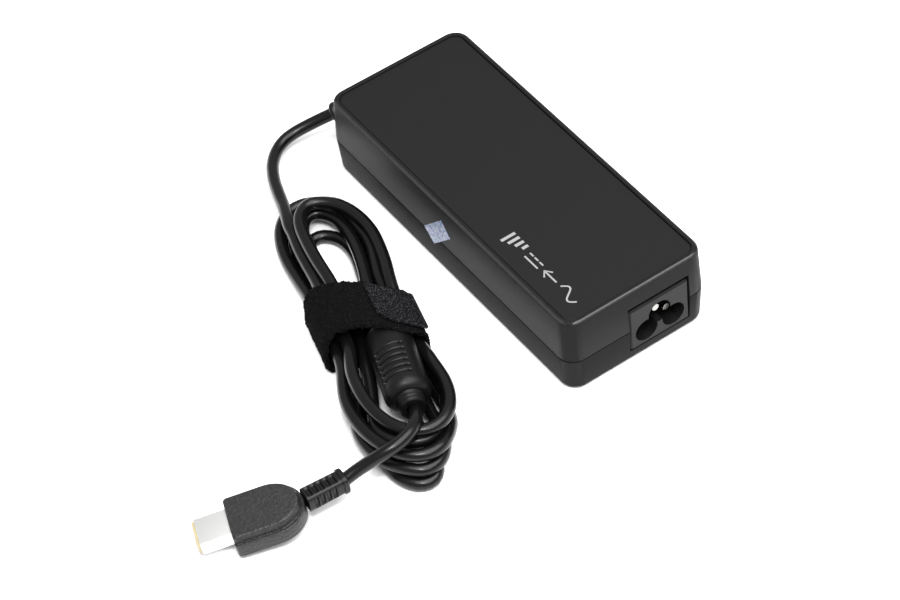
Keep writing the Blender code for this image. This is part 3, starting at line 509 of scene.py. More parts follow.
def sweep(path, radius, sides, up=(0, 0, 1)):
    """Rings round a path. radius(i, angle) is the distance from it, where angle 90 is upwards."""
    path = np.asarray(path, float)
    tangent = np.gradient(path, axis=0)
    tangent /= np.linalg.norm(tangent, axis=1)[:, None]
    side = np.cross(np.asarray(up, float), tangent)
    side /= np.linalg.norm(side, axis=1)[:, None]
    top = np.cross(tangent, side)
    angles = np.linspace(0, math.tau, sides, endpoint=False)
    rows = []
    for i, point in enumerate(path):
        out = np.cos(angles)[:, None] * side[i] + np.sin(angles)[:, None] * top[i]
        rows.append(point + radius(i, angles)[:, None] * out)
    return np.array(rows)


def run_along(line):
    """How far along a line each of its points lies."""
    return np.concatenate([[0], np.cumsum(np.linalg.norm(np.diff(line, axis=0), axis=1))])


def through(points, spacing):
    """Points evenly spaced on the Catmull-Rom curve through the given ones."""
    knots = np.array(points, float)
    line = np.vstack([2 * knots[:1] - knots[1:2], knots, 2 * knots[-1:] - knots[-2:-1]])
    t = np.linspace(0, 1, 12, endpoint=False)[:, None]
    fine = [
        (2 * b + (c - a) * t + (2 * a - 5 * b + 4 * c - d) * t**2 + (3 * b - a - 3 * c + d) * t**3) / 2
        for a, b, c, d in zip(line, line[1:], line[2:], line[3:])
    ]
    fine = np.vstack([*fine, knots[-1:]])
    run = run_along(fine)
    at = np.linspace(0, run[-1], max(2, round(run[-1] / spacing)) + 1)
    return np.stack([np.interp(at, run, fine[:, i]) for i in range(3)], axis=1)


def smoothstep(value, low, high):
    share = np.clip((value - low) / (high - low), 0, 1)
    return share * share * (3 - 2 * share)


# --- Lead ---


def cord_route():
    """The lead's points from the sleeve to the boot, and which of them stay put."""
    hank = []
    for u, v, z in HANK_RUN:
        hank.append(HANK_CENTRE + MM * (u * HANK_ALONG + v * HANK_ACROSS + Vector((0, 0, z))))
    choke = [CHOKE_REAR + CHOKE_AXIS * (s * MM) for s in (0, 7, 14, 21, 28)]
    boot = BOOT_END + (BOOT_END - Vector(LEAD_TO_PLUG_ROUTE[-1])).normalized() * 0.0012
    line = through([INSIDE_SLEEVE, *LEAD_ROUTE, *hank, *choke, *LEAD_TO_PLUG_ROUTE, boot], CORD_STEP)

    def nearest(point):
        return int(np.argmin(np.linalg.norm(line - np.array(point), axis=1)))

    held = np.zeros(len(line), bool)
    held[: nearest(LEAD_ROUTE[-2])] = True
    held[nearest(choke[0]):] = True
    return line, held


def in_tie(points):
    """Places along and across the tie, with its skew taken off."""
    flat = points[:, :2] - TIE_CENTRE
    side = flat @ TIE_ACROSS
    return flat @ TIE_ALONG - TIE_SKEW * side, side


def settle(line, held, rounds=260, last_rounds=12):
    """Lets the strands rest on each other, on the floor, against the choke and inside the tie.

    What is smoothed is how far each point has been pushed, so that the loops keep their size.
    The last rounds only smooth."""
    home = line.copy()
    reach = 2 * CORD_RADIUS
    count = len(line)
    i, j = np.triu_indices(count, k=int(3.5 * reach / CORD_STEP))
    near = np.linalg.norm(home[i] - home[j], axis=1) < 0.010
    i, j = i[near], j[near]
    axis, rear = np.array(CHOKE_AXIS), np.array(CHOKE_REAR)
    clear = CHOKE_RADIUS + CORD_RADIUS
    inner = TIE_THICKNESS + CORD_RADIUS + 0.0002
    half, top = TIE_HALF_WIDTH - inner, TIE_TOP - 0.0006 - inner
    lowest = np.full(count, CORD_RADIUS + 0.00003)
    apart, off_choke, into_tie = 0.2, 0.3, 0.4  # the shares of an overlap taken out in a round
    fade = 0.995  # what is kept of the push from one round to the next
    for step in range(rounds + last_rounds):
        if step < rounds:
            away = line[i] - line[j]
            gap = np.maximum(np.linalg.norm(away, axis=1), 1e-6)
            close = gap < reach
            push = away[close] * ((reach - gap[close]) / gap[close] * apart)[:, None]
            np.add.at(line, i[close], push)
            np.add.at(line, j[close], -push)
            out = line - rear
            along = out @ axis
            radial = out - along[:, None] * axis
            span = np.linalg.norm(radial, axis=1)
            inside = (along > 0) & (along < CHOKE_LENGTH) & (span < clear) & ~held
            line[inside] += radial[inside] * ((clear - span[inside]) / span[inside])[:, None] * off_choke
            t, side = in_tie(line)
            within = np.abs(t) < TIE_HALF_BREADTH + 0.0012
            rise = np.clip((line[:, 2] - TIE_FOOT) / (top - TIE_FOOT), 0, 0.98) ** (1 / TIE_BULGE)
            limit = half * np.sqrt(1 - rise**2)
            over = np.sign(side) * np.maximum(np.abs(side) - limit, 0) * within * into_tie
            line[:, :2] -= over[:, None] * TIE_ACROSS
            lift = np.where(within, 0.0035, lowest)
            line[:, 2] += into_tie * np.maximum(lift - line[:, 2], 0)
        moved = line - home
        for _ in range(3):
            moved[1:-1] += 0.5 * (0.5 * (moved[:-2] + moved[2:]) - moved[1:-1])
        moved *= fade
        line = home + moved
        line[:, 2] = np.maximum(line[:, 2], lowest)
        line[held] = home[held]
    return line


def add_cord():
    line, held = cord_route()
    line = settle(line, held)
    line = through(np.vstack([line[:-1:2], line[-1:]]), CURVE_STEP)
    curve = bpy.data.curves.new("lead", "CURVE")
    curve.dimensions = "3D"
    curve.bevel_depth = CORD_RADIUS
    curve.bevel_resolution = 5
    curve.use_fill_caps = True
    spline = curve.splines.new("POLY")
    spline.points.add(len(line) - 1)
    spline.points.foreach_set("co", np.hstack([line, np.ones((len(line), 1))]).ravel())
    spline.use_smooth = True
    obj = add_object("lead", curve)
    finish = surface(
        "lead_jacket", (0.0028, 0.0028, 0.0030), 0.24, grain=(1.4, 0.0025), mottle=(2.5, 0.1),
        wear=0.03, specular=0.26,
    )
    dress(obj, finish, "cord_hank", replaces=("lead_to_hank", "cord_hank", "lead_to_plug"))


def make_sleeve(finish):
    """The bend relief where the lead leaves the case, ringed so that it flexes."""
    path = through(SLEEVE_ROUTE, 0.0002)
    last = len(path) - 1
    wide, narrow = 0.0040, 0.0034
    ring_depth, ring_pitch = 0.00055, 2.1

    def radius(i, angles):
        share = i / last
        body = wide + (narrow - wide) * share
        place = share * 15.5 - 2.0  # roughly in mm, from inside the case's wall
        ring = ring_depth * (0.5 - 0.5 * math.cos(math.tau * place / ring_pitch)) ** 2
        ring *= float(smoothstep(place, 3.2, 4.2)) * (1 - float(smoothstep(place, 12.0, 12.6)))
        end = 0.0004 * float(smoothstep(share, 0.97, 1.0))
        return np.full_like(angles, body - ring - end)

    outer = sweep(path, radius, 48)
    obj = skin("lead_sleeve", np.concatenate([outer, sweep_back(path[-14:], 48)]))
    flange_x = -HALF_LENGTH + 0.0034

    def disc(name, back, front, size):
        ends = [(flange_x + x, OUTLET.y, OUTLET.z) for x in (-back, front)]
        return rod(name, *ends, size)

    flange = cut(disc("flange", 0.0010, 0.0006, 0.0056), disc("bore", 0.0030, 0.0030, 0.0036))
    cut(obj, flange, "UNION")
    return dress(obj, finish, "cord_gland")


def sweep_back(path, sides, up=(0, 0, 1)):
    """The bore's rings, from the mouth inwards."""
    return sweep(path, lambda i, angles: np.full_like(angles, BORE), sides, up)[::-1]


def make_choke(finish):
    """The moulded choke cover, with arc grooves over its top and rings on its neck."""
    length, neck, full = CHOKE_LENGTH, CHOKE_NECK, CHOKE_RADIUS
    rear_round = 0.0022
    front_run, front_drop = 0.0034, 0.0027
    stations = [(0.0, BORE), (0.0, full - rear_round)]
    for c, s in quarter_turn(8, 1):
        stations.append((rear_round * (1 - c), full - rear_round + rear_round * s))
    s = 0.0024
    while s < length - 0.0036:
        stations.append((s, full))
        s += 0.00018
    for c, s in quarter_turn(12):
        stations.append((length - front_run + front_run * s, full - front_drop * (1 - c)))
    neck_radius, neck_taper = 0.0044, 0.0006
    ring_count, ring_depth = 3, 0.00035
    for share in np.arange(1, 41) / 40:
        dip = ring_depth * (0.5 - 0.5 * math.cos(math.tau * ring_count * share)) ** 2
        stations.append((length + neck * share, neck_radius - neck_taper * share - dip))
    wall = 0.0022
    hollow = CORE_RADIUS + GAP
    stations += [(length + neck, BORE), (length - wall, BORE), (length - wall, hollow)]
    stations += [(wall, hollow), (wall, BORE)]
    sides = 144
    angles = np.linspace(0, math.tau, sides, endpoint=False)
    degrees = np.degrees(angles)
    axis = np.array(CHOKE_AXIS)
    up = np.array((0, 0, 1.0)) - axis * axis[2]
    up /= np.linalg.norm(up)
    side = np.cross(axis, up)
    out = np.cos(angles)[:, None] * side + np.sin(angles)[:, None] * up
    arc = np.interp(degrees, (30, 36, 106, 112), (0, 1, 1, 0), left=0, right=0)
    rows = []
    for s, r in stations:
        reach = np.full(sides, r)
        if r == full:
            for at in (0.0110 + 0.00242 * groove for groove in range(6)):
                reach -= 0.00085 * arc * math.exp(-((s - at) / 0.00036) ** 2)
                for end in (35, 107):
                    off = np.hypot(s - at, np.radians(degrees - end) * full)
                    reach -= 0.0005 * np.exp(-((off / 0.00055) ** 4))
        rows.append(np.array(CHOKE_REAR) + axis * s + reach[:, None] * out)
    obj = skin("choke_moulding", rows, wrap_rows=True)
    return dress(obj, finish, "choke_cover")


# --- Tie ---


def tie_section(spacing):
    """The band's outer section (side, height) from the right foot over the top and back below,
    the direction out of it and how far round each point lies."""
    half, corner = TIE_HALF_WIDTH, 0.0026
    points = []
    for angle in np.linspace(0, math.pi, 49):
        side = half * math.cos(angle)
        height = TIE_FOOT + (TIE_TOP - TIE_FOOT) * math.sin(angle) ** TIE_BULGE
        height -= 0.0010 * float(smoothstep(side, 0.0, 0.010)) * math.sin(angle)
        points.append((side, height))
    turn = quarter_turn(6)
    points += [(-half + corner - corner * c, corner - corner * s) for c, s in turn[1:]]
    points += [(half - corner + corner * s, corner - corner * c) for c, s in turn[:-1]]
    points = np.array([*points, points[0]])
    run = run_along(points)
    at = np.linspace(0, run[-1], round(run[-1] / spacing), endpoint=False)
    section = np.stack([np.interp(at, run, column) for column in points.T], axis=1)
    for _ in range(6):
        section = (np.roll(section, 1, 0) + 2 * section + np.roll(section, -1, 0)) / 4
    ahead = np.roll(section, -1, 0) - np.roll(section, 1, 0)
    normal = np.stack([ahead[:, 1], -ahead[:, 0]], axis=1)
    normal /= np.linalg.norm(normal, axis=1)[:, None]
    return section, normal, at


def from_tie(t, side, height):
    """World points from places along, across and above in the tie's frame, with its skew."""
    raised = smoothstep(height, 0.008, 0.018)
    t = t + TIE_SKEW * side + raised * (TIE_TOP_SHIFT + TIE_TOP_SKEW * side)
    flat = TIE_CENTRE + t[..., None] * TIE_ALONG + side[..., None] * TIE_ACROSS
    return np.concatenate([flat, height[..., None]], axis=-1)


def rim_profile(low, high, thickness, steps, spacing):
    """A strap's own cross-section (along, depth), round at both rims, outer side first."""
    r = thickness / 2
    outer = np.linspace(low + r, high - r, max(2, round((high - low) / spacing)))
    turn = np.linspace(0, math.pi, steps + 2)[1:-1]
    front = np.stack([high - r + r * np.sin(turn), r - r * np.cos(turn)], axis=1)
    inner = np.stack([outer[::-4], np.full(len(outer[::-4]), thickness)], axis=1)
    back = np.stack([low + r - r * np.sin(turn), r + r * np.cos(turn)], axis=1)
    return np.concatenate([np.stack([outer, np.zeros(len(outer))], axis=1), front, inner, back])


def lumps(points, size):
    """Seedless noise between -1 and 1 at each point."""
    return np.array([noise.noise(Vector(p) / size) for p in points.reshape(-1, 3)]).reshape(points.shape[:-1])


def make_band(finish):
    """The band: a loop-pile strap whose surface and rims are uneven."""
    section, normal, run = tie_section(PILE_STEP)
    profile = rim_profile(-TIE_HALF_BREADTH, TIE_HALF_BREADTH, TIE_THICKNESS, 6, PILE_STEP)
    t, depth = profile[:, 0], profile[:, 1]
    from_rim = np.abs(t) - TIE_HALF_BREADTH

    def ridge(inset, width):
        return np.exp(-(((from_rim + inset) / width) ** 2))

    side = section[:, 0][:, None] - normal[:, 0][:, None] * depth
    height = section[:, 1][:, None] - normal[:, 1][:, None] * depth
    rows = from_tie(np.broadcast_to(t, side.shape), side, height)
    pile = 0.8 * lumps(rows, 0.00045) + 0.5 * lumps(rows + 1.0, 0.0009)
    outside = 1 - smoothstep(depth, TIE_THICKNESS * 0.35, TIE_THICKNESS * 0.9)
    stitches = 0.6 + 0.4 * np.sin(math.tau * run / 0.0012)[:, None]
    relief = 0.00042 * pile - 0.0003 * ridge(0.0018, 0.00028) + 0.00032 * ridge(0.0008, 0.00035) * stitches
    lift = relief * outside * smoothstep(height, 0.0006, 0.0025)
    rim = smoothstep(from_rim, -0.0012, -0.0004) * np.sign(t)
    stray = (0.0006 * lumps(rows + 3.0, 0.0012) + 0.0007 * lumps(rows + 4.0, 0.0005)) * rim
    side = side + normal[:, 0][:, None] * lift
    height = height + normal[:, 1][:, None] * lift
    rows = from_tie(t + stray, side, np.maximum(height, 0.00015))
    obj = skin("tie_loop_strap", rows, wrap_rows=True)
    return dress(obj, finish, "tie_band", smooth=60)


def make_tab(finish):
    """The tie's hooked end, closed over the band: woven tape with rows of hooks."""
    section, normal, _ = tie_section(0.00022)
    keep = (section[:, 0] > TAB_END_SIDE) & (section[:, 1] > TAB_ROOT_Z)
    section, normal = section[keep], normal[keep]
    low, high = TAB_RIMS
    across = np.linspace(low, high, 76)

    def cut_back(radius, inwards):
        """How far a round corner cuts the tab's end back, at each place across it."""
        into = np.maximum(radius - inwards, 0)
        return radius - np.sqrt(np.maximum(radius**2 - into**2, 0))

    run = run_along(section)
    reach = run[-1] - np.maximum(cut_back(0.0040, high - across), cut_back(0.0012, across - low))
    s = np.linspace(0, 1, len(run))[:, None] * reach[None, :]
    t = np.broadcast_to(across, s.shape)
    side, height = (np.interp(s, run, section[:, k]) for k in (0, 1))
    out_side, out_height = (np.interp(s, run, normal[:, k]) for k in (0, 1))
    border = np.minimum(np.minimum(t - low, high - t), np.minimum(s, reach - s))
    thickness = 0.0005 + 0.0006 * np.sqrt(np.clip(border / 0.0006, 0, 1))
    row, stagger = s / HOOK_PITCH, 1.57
    hooks = np.sin(row * math.pi) ** 2 * np.sin(t / HOOK_PITCH * math.pi + np.floor(row) * stagger) ** 2
    inner = 0.00035
    outer = inner + thickness + 0.00016 * hooks * (border > 0.0007)
    grids = [from_tie(t, side + out_side * lift, height + out_height * lift) for lift in (inner, outer)]
    obj = shell_between("tie_hook_tab", *grids)
    return dress(obj, finish, "tie_tab", body="tab", smooth=50)


def shell_between(name, under, over):
    """A closed sheet between two grids of the same size."""
    rows, columns = under.shape[:2]
    size = rows * columns
    index = np.arange(size).reshape(rows, columns)
    quads = np.stack([index[:-1, :-1], index[:-1, 1:], index[1:, 1:], index[1:, :-1]], axis=-1).reshape(-1, 4)
    faces = quads.tolist() + (quads[:, ::-1] + size).tolist()
    border = np.concatenate([index[0, :-1], index[:-1, -1], index[-1, :0:-1], index[:0:-1, 0]])
    following = np.roll(border, -1)
    faces += np.stack([border, border + size, following + size, following], axis=1).tolist()
    return from_faces(name, np.stack([under, over]), faces)


# --- Plug ---


def plug_pose():
    """Plug coordinates to world: X towards the tip, the origin under PLUG_FRONT."""
    heading, down, roll = PLUG_TURN
    turn = Matrix.Rotation(heading, 4, "Z") @ Matrix.Rotation(down, 4, "Y") @ Matrix.Rotation(roll, 4, "X")
    return Matrix.Translation(PLUG_FRONT) @ turn @ Matrix.Translation((0, 0, -TIP_AXIS_Z))


def paddle_ring(inset, z, front=0.0):
    """The paddle from above: square at the front, with round corners, and round at the back."""
    half = PADDLE_WIDTH / 2 - inset
    length = PADDLE_LENGTH - inset
    corner, round_back = 0.0012, 0.0090
    near = [(-front - corner * (1 - c), half - corner * (1 - s)) for c, s in quarter_turn(6)]
    points = [(x, y, z) for x, y in near]
    for angle in np.linspace(math.pi / 2, -math.pi / 2, 37):
        points.append((-(length - round_back) - round_back * math.cos(angle), half * math.sin(angle), z))
    points += [(x, -y, z) for x, y in reversed(near)]
    return points


def make_housing(finish):
    """The paddle, with its raised pad and the pocket that the tip stands in."""
    bottom, shoulder, crown = 0.0006, 0.0004, 0.0007  # the radii of its edges, from below
    levels = [(bottom * (1 - s), bottom * (1 - c), 0.0002 * (1 - s)) for c, s in quarter_turn(5)]
    levels.append((0.0, 0.0030, 0.0))
    levels += [(shoulder * (1 - c), PADDLE_BASE - shoulder * (1 - s), 0.0) for c, s in quarter_turn(5)]
    pad = PAD_STEP + 0.0001
    levels += [
        (PAD_STEP - 0.0002, PADDLE_BASE - 0.0001, 0.0),
        (PAD_STEP, PADDLE_BASE + 0.0001, 0.0),
        (pad, PADDLE_TOP - 0.0008, 0.0),
    ]
    for c, s in quarter_turn(6, 1):
        levels.append((pad + crown * (1 - c), PADDLE_TOP - crown * (1 - s), 0.0006 * (1 - c)))
    obj = skin("plug_paddle", [paddle_ring(*level) for level in levels])
    half_y, half_z = TIP_WIDTH / 2 + GAP / 2, TIP_HEIGHT / 2 + GAP / 2
    low, high = TIP_AXIS_Z - half_z, TIP_AXIS_Z + half_z
    cut(obj, brick("pocket", (-TIP_IN - GAP, -half_y, low), (0.001, half_y, high)))
    obj.data.transform(plug_pose())
    return dress(obj, finish, "plug_housing", smooth=30)


def tip_piece(name, sections):
    """A piece round the tip's axis, from (x, half width, half height, corner radius) sections."""
    rows = []
    for x, half_y, half_z, radius in sections:
        ring = rounded_ring(half_y, half_z, radius, 0, 6)
        rows.append([(x, y, TIP_AXIS_Z + z) for y, z, _ in ring])
    obj = skin(name, rows)
    obj.data.transform(plug_pose())
    return obj


def make_tip(metal, plastic):
    """The plug's metal sleeve, and the pale insert in it."""
    half_y, half_z = TIP_WIDTH / 2, TIP_HEIGHT / 2
    wall = 0.00035
    y, z = half_y - wall, half_z - wall
    edge = 0.00005
    shell = tip_piece("plug_sleeve", [
        (-TIP_IN, half_y, half_z, 0.0008),
        (TIP_OUT - 0.0002, half_y, half_z, 0.0008),
        (TIP_OUT - edge, half_y - 0.00006, half_z - 0.00006, 0.0008),
        (TIP_OUT, half_y - 0.00015, half_z - 0.00015, 0.0007),
        (TIP_OUT - edge, y, z, 0.0006),
        (-TIP_IN + wall, y, z, 0.0006),
    ])
    dress(shell, metal, "plug_shell")
    y, z = y - 0.00012, z - 0.00012
    mouth = TIP_OUT + LINER_OUT
    thick = 0.0007
    insert = tip_piece("plug_liner", [
        (-TIP_IN + wall + GAP, y, z, 0.0006),
        (mouth - 0.0003, y, z, 0.0006),
        (mouth, y - 0.0003, z - 0.0003, 0.0005),
        (mouth, y - thick, z - thick / 2, 0.0003),
        (0.0, y - thick, z - thick / 2, 0.0003),
    ])
    dress(insert, plastic, "plug_insert")
    return shell, insert


def make_boot(finish):
    """The strain relief: a squarish block with staggered slots, and a collar at the lead's end."""
    start = plug_pose() @ Vector((-PADDLE_LENGTH - GAP, 0, TIP_AXIS_Z))
    axis = BOOT_END - start
    length = axis.length
    stations = np.linspace(0, length, 120)
    path = np.array([start + axis * (s / length) for s in stations])
    pitch = length / (BOOT_SEGMENTS + 0.6)
    up = np.array(plug_pose().to_3x3() @ Vector((0, 0, 1)))
    collar, collar_rise, power = 0.0017, 0.00035, 4.0

    def slot(place, at):
        """How deep the slot at one place is at another."""
        return 0.0008 * math.exp(-(((place - at) / 0.00062) ** 6))

    def radius(i, angles):
        place = stations[i]
        share = place / length
        grow = collar_rise if place > length - collar else 0
        grow -= 0.0004 * float(smoothstep(place, length - 0.0004, length))
        wide, high = 0.0032 - 0.0002 * share + grow, 0.0030 - 0.0001 * share + grow
        level, upright = np.abs(np.cos(angles)), np.abs(np.sin(angles))
        reach = ((level / wide) ** power + (upright / high) ** power) ** (-1 / power)
        for k in range(BOOT_SEGMENTS):
            above = pitch * (k + 0.75)
            beside = above - pitch / 2
            if above <= length - 0.0026:
                reach = reach - slot(place, above) * (upright > 0.80)
                reach = reach - slot(place, beside) * (level > 0.80) * (beside > 0.001)
        return reach

    outer = sweep(path, radius, 96, up)
    obj = skin("plug_strain_relief", np.concatenate([outer, sweep_back(path[-20:], 96, up)]))
    return dress(obj, finish, "plug_boot", smooth=40)


# --- Case ---


def case_ring(inset, z, radius=None):
    radius = max(CORNER_RADIUS - inset / 2, 0.002) if radius is None else radius
    return rounded_ring(HALF_LENGTH - inset, HALF_WIDTH - inset, radius, z)


def quarter(inset, z, radius, up, steps=7):
    """(inset, height) round a quarter turn, from the flat face to the side."""
    rise = radius if up else -radius
    return [(inset + radius * (1 - s), z + rise * (1 - c)) for c, s in quarter_turn(steps)]


def cut_openings(obj):
    """Cuts the inlet's opening and the lead's outlet out of a case half."""
    half = INLET_WIDTH / 2 + GAP
    inner_end, outer_end = 0.0538, 0.066
    low = (inner_end, INLET_Y - half, INLET_LOW - GAP)
    cut(obj, brick("hole", low, (outer_end, INLET_Y + half, INLET_OPENING_TOP)))
    ends = [(x, OUTLET.y, OUTLET.z) for x in (-HALF_LENGTH - 0.002, -HALF_LENGTH + 0.006)]
    cut(obj, rod("hole", *ends, OUTLET_RADIUS))


def make_lower_case(finish):
    seam = SEAM_HEIGHT - GAP / 2
    floor = WALL
    levels = quarter(DRAFT, 0.0, BOTTOM_FILLET, True)
    levels += [(inset, seam - off) for inset, off in SEAM_EDGE]
    levels += [(WALL, seam), (WALL + DRAFT, floor + INNER_FILLET), (WALL + DRAFT + INNER_FILLET, floor)]
    obj = skin("case_lower", [case_ring(inset, z) for inset, z in levels])
    for x, y in BOARD_POSTS:
        cut(obj, rod("post", (x, y, floor / 2), (x, y, 0.0040), 0.002, 32), "UNION")
    cut_openings(obj)
    half_x, half_y = (size / 2 + GAP for size in RATING_LABEL)
    recess = [rounded_ring(half_x, half_y, 0.0030, z) for z in (-0.001, 0.00075)]
    cut(obj, skin("recess", recess))
    return dress(obj, finish, "bottom_case", smooth=30)


def make_upper_case(finish, painted_edge_highlight):
    """The upper half, whose rounded top edge takes a glossier finish in a lighter colour; the lighter colour
    is a painted highlight along the edge.
    """
    seam = SEAM_HEIGHT + GAP / 2
    roof = CASE_HEIGHT - ROOF_WALL
    panel = DRAFT + RIM_WIDTH
    rows = [
        case_ring(panel, CASE_HEIGHT - PANEL_DEPTH - FILM_THICKNESS - GAP, PANEL_CORNER),
        case_ring(panel, CASE_HEIGHT - 0.00025, PANEL_CORNER),
        case_ring(panel - 0.00006, CASE_HEIGHT - 0.00008, PANEL_CORNER),
        case_ring(panel - 0.0002, CASE_HEIGHT, PANEL_CORNER + 0.0001),
    ]
    levels = quarter(DRAFT, CASE_HEIGHT, TOP_FILLET, False)
    levels += [(inset, seam + off) for inset, off in SEAM_EDGE]
    levels += [(WALL, seam), (WALL + DRAFT, roof - INNER_FILLET), (WALL + DRAFT + INNER_FILLET, roof)]
    rows += [case_ring(inset, z) for inset, z in levels]
    obj = skin("case_upper", rows)
    cut_openings(obj)
    dress(obj, finish, "top_cover", smooth=30)
    obj.data.materials.append(painted_edge_highlight)
    edge = DRAFT + TOP_FILLET  # how far the round edge reaches in from the case's widest
    # Faces of the rounded top edge that face up and out get the second finish: glossier, and lighter in
    # colour as a painted highlight line.
    for face in obj.data.polygons:
        x, y, z = face.center
        outer = abs(y) > HALF_WIDTH - edge or abs(x) > HALF_LENGTH - edge
        if outer and z > CASE_HEIGHT - 0.0008 and 0.5 < face.normal.z < 0.96:
            face.material_index = 1
    return obj


def make_panel(finish):
    """The satin film in the sunk panel."""
    inset = DRAFT + RIM_WIDTH + GAP
    high = CASE_HEIGHT - PANEL_DEPTH
    radius = PANEL_CORNER - GAP
    edge = 0.00006
    rows = [
        case_ring(inset, high - FILM_THICKNESS, radius),
        case_ring(inset, high - edge, radius),
        case_ring(inset + edge, high, radius),
    ]
    obj = skin("top_panel", rows)
    return dress(obj, finish, "top_label", smooth=30)


def make_sticker(finish):
    """The seal sticker, lying on the drafted side and bent where it crosses the seam."""
    length, width = SEAL_SIZE
    u, v = np.meshgrid(np.linspace(-0.5, 0.5, 57) * length, np.linspace(-0.5, 0.5, 27) * width, indexing="ij")
    x = SEAL_MIDDLE[0] + u * math.cos(SEAL_TILT) - v * math.sin(SEAL_TILT)
    z = SEAL_MIDDLE[1] + u * math.sin(SEAL_TILT) + v * math.cos(SEAL_TILT)
    inset = np.interp(z, (BOTTOM_FILLET, SEAM_HEIGHT, CASE_HEIGHT - TOP_FILLET), (DRAFT, 0, DRAFT))
    grids = [np.stack([x, inset - HALF_WIDTH - off * MM, z], axis=-1) for off in (0.03, 0.13)]
    obj = shell_between("side_sticker", *grids)
    return dress(obj, finish, "seal_sticker")


def strokes(bm, points, width, z):
    """A line of even width lying on a surface, as a thin raised strip of ink."""
    path = [Vector((*point, 0)) for point in points]
    sides = ([], [])
    for before, point, after in zip(path[:1] + path, path, path[1:] + path[-1:]):
        ahead = (after - before).normalized()
        across = Vector((-ahead.y, ahead.x, 0)) * width / 2
        sides[0].append(point + across)
        sides[1].append(point - across)
    verts = [[[bm.verts.new((p.x, p.y, level)) for p in side] for side in sides] for level in (z, z + INK)]
    (a, b), (c, d) = verts
    for i in range(len(path) - 1):
        j = i + 1
        bm.faces.new((c[i], d[i], d[j], c[j]))
        bm.faces.new((a[i], a[j], b[j], b[i]))
        bm.faces.new((a[i], c[i], c[j], a[j]))
        bm.faces.new((b[i], b[j], d[j], d[i]))
    bm.faces.new((a[0], b[0], d[0], c[0]))
    bm.faces.new((a[-1], c[-1], d[-1], b[-1]))


def make_print(finish):
    """Generic marks in white ink on the panel: a wave, an arrow, a direct-current sign and bars."""
    bm = bmesh.new()
    z = CASE_HEIGHT - PANEL_DEPTH + 0.00001

    def draw(places, width=0.55):
        """Places in mm: x runs along the row of marks from the inlet end, and y is up the mark."""
        strokes(bm, [(0.0560 - x * MM, -0.0134 - y * MM) for x, y in places], width * MM, z)

    draw([(x * 8.0, 3.0 + 1.9 * math.sin(x * math.tau)) for x in np.linspace(0, 1, 33)])
    draw([(10.0, 3.0), (15.7, 3.0)])
    draw([(13.9, 1.4), (16.1, 3.0), (13.9, 4.6)])
    draw([(18.0, 4.0), (24.6, 4.0)])
    for x in (18.0, 20.4, 22.8):
        draw([(x, 2.0), (x + 1.8, 2.0)])
    for k, tall in enumerate((2.2, 3.2, 4.2, 5.2)):
        x, foot = 27.5 + 2.2 * k, 0.6
        draw([(x, foot), (x, foot + tall)], 1.1)
    obj = face_outwards(mesh_piece("panel_marks", bm))
    return dress(obj, finish, "top_label", replaces=(), smooth=0)


# --- Finishes of the CAD pieces that stay ---


def paint(node, finish):
    for slot in NODES[node].material_slots:
        slot.material = finish


def paint_cad():
    """Every CAD piece that stays gets a finish of its own; its shape is the CAD's."""
    metal = {"metallic": 1.0, "scratches": 0.002}
    table = [
        ("board_lead", (0.30, 0.03, 0.02), 0.4, {}),
        ("bridge_rectifier output_rectifier switching_transistor", (0.012, 0.012, 0.013), 0.45,
         {"grain": (0.15, 0.012)}),
        ("bulk_capacitor", (0.02, 0.03, 0.06), 0.25, {"coat": 0.4, "bands": ("Z", 6.0, 0.02)}),
        ("choke_core", (0.06, 0.06, 0.065), 0.55, {"grain": (0.12, 0.02)}),
        ("circuit_board", (0.015, 0.10, 0.04), 0.35, {"bands": ("X", 1.6, 0.004), "coat": 0.3}),
        ("controller_chip", (0.014, 0.014, 0.015), 0.5, {"grain": (0.1, 0.01)}),
        ("earth_pin line_pin neutral_pin", (0.42, 0.41, 0.39), 0.25, metal),
        ("fuse", (0.03, 0.03, 0.032), 0.4, {}),
        ("heat_spreader", (0.78, 0.79, 0.80), 0.35, metal),
        ("inrush_thermistor", (0.03, 0.09, 0.04), 0.35, {"coat": 0.5}),
        ("insulation_sheet", (0.42, 0.38, 0.28), 0.3, {"grain": (2.0, 0.01), "coat": 0.3}),
        ("line_choke_core transformer_core", (0.05, 0.05, 0.055), 0.6, {"grain": (0.15, 0.02)}),
        ("line_choke_winding", (0.55, 0.21, 0.07), 0.3, {"metallic": 0.8, "bands": ("X", 0.6, 0.08)}),
        ("optocoupler", (0.75, 0.74, 0.70), 0.5, {"grain": (0.1, 0.01)}),
        ("output_capacitor_1 output_capacitor_2", (0.03, 0.10, 0.07), 0.25,
         {"coat": 0.4, "bands": ("Z", 5.0, 0.02)}),
        ("output_choke", (0.50, 0.20, 0.07), 0.3, {"metallic": 0.8, "bands": ("Z", 0.7, 0.08)}),
        ("plug_centre_pin", (0.85, 0.80, 0.66), 0.2, metal),
        ("primary_heat_sink secondary_heat_sink", (0.72, 0.73, 0.74), 0.4,
         {**metal, "bands": ("Y", 2.0, 0.05)}),
        ("rating_label", (0.50, 0.51, 0.52), 0.45, {"grain": (0.6, 0.004)}),
        ("thermal_pad", (0.22, 0.30, 0.38), 0.8, {"grain": (0.3, 0.03)}),
        ("transformer_winding", (0.70, 0.52, 0.07), 0.35, {"bands": ("Z", 4.0, 0.06), "coat": 0.2}),
        ("x_capacitor", (0.55, 0.45, 0.09), 0.4, {"grain": (0.3, 0.01)}),
        ("y_capacitor", (0.04, 0.14, 0.36), 0.3, {"coat": 0.5}),
    ]
    for nodes, colour, rough, more in table:
        for node in nodes.split():
            paint(node, surface(node + "_finish", colour, rough, **more))


# --- Everything ---


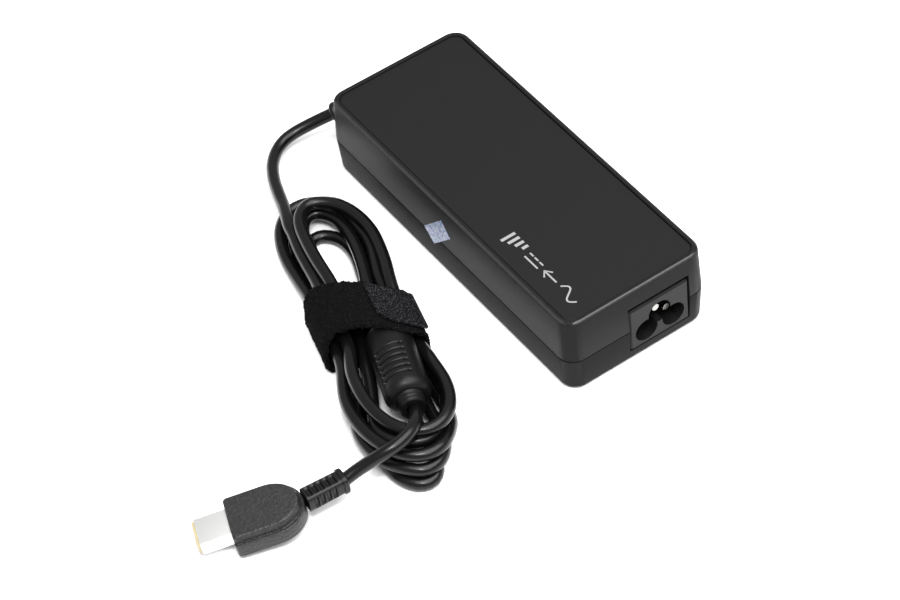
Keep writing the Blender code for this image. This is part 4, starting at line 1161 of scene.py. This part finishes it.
def build():
    add_camera()
    add_studio()
    case_plastic = surface(
        "case_plastic", (0.0108, 0.0108, 0.0110), 0.40, grain=(0.22, 0.008), mottle=(1.1, 0.08),
        wear=0.03, specular=0.042,
    )
    # The case's rounded top edge: glossier than the case, and lighter in colour, which is a painted
    # highlight.
    painted_edge_highlight = surface(
        "case_edge_painted_highlight", (0.020, 0.020, 0.021), 0.24, grain=(0.3, 0.004), mottle=(1.1, 0.15),
        wear=0.05, specular=0.36,
    )
    rubber = surface(
        "soft_moulding", (0.0030, 0.0030, 0.0032), 0.36, grain=(0.2, 0.008), mottle=(0.9, 0.1),
        wear=0.04, specular=0.25,
    )
    choke_plastic = surface(
        "choke_plastic", (0.0032, 0.0032, 0.0034), 0.40, grain=(0.2, 0.010), mottle=(0.9, 0.1),
        wear=0.04, specular=0.2,
    )
    paddle_plastic = surface(
        "paddle_plastic", (0.015, 0.015, 0.0155), 0.42, grain=(0.8, 0.34), mottle=(0.9, 0.4), specular=0.32
    )
    film = surface(
        "panel_film", (0.0062, 0.0058, 0.0064), 0.5, grain=(0.16, 0.006), mottle=(0.8, 0.05),
        wear=0.02, specular=0.15,
    )
    inlet_plastic = surface(
        "inlet_plastic", (0.0055, 0.0055, 0.0058), 0.45, grain=(0.2, 0.012), mottle=(0.9, 0.1), specular=0.18
    )
    ink = surface("white_ink", (0.23, 0.23, 0.225), 0.5, grain=(0.1, 0.003), mottle=(0.8, 0.05))
    bright = surface(
        "plug_metal", (0.80, 0.80, 0.79), 0.5, metallic=1.0, grain=(0.8, 0.0006), mottle=(1.0, 0.01),
        wear=0.02, scratches=0.0008,
    )
    insulator = surface("plug_insulator", (0.40, 0.34, 0.20), 0.45, grain=(0.2, 0.006))
    pile = speckled("loop_pile", (0.0022, 0.0022, 0.0023), (0.030, 0.030, 0.031), 0.45, 0.08, 0.95, 0.25)
    hooks = speckled("hook_tape", (0.0035, 0.0035, 0.0042), (0.072, 0.072, 0.076), 0.46, 0.17, 0.7, 0.12)
    make_lower_case(case_plastic)
    make_upper_case(case_plastic, painted_edge_highlight)
    make_panel(film)
    make_print(ink)
    make_sticker(foil("seal_foil"))
    paint("inlet_body", inlet_plastic)
    paint_cad()
    sleeve = make_sleeve(rubber)
    choke = make_choke(choke_plastic)
    band = make_band(pile)
    tab = make_tab(hooks)
    paddle = make_housing(paddle_plastic)
    shell, insert = make_tip(bright, insulator)
    boot = make_boot(rubber)
    add_cord()


build()
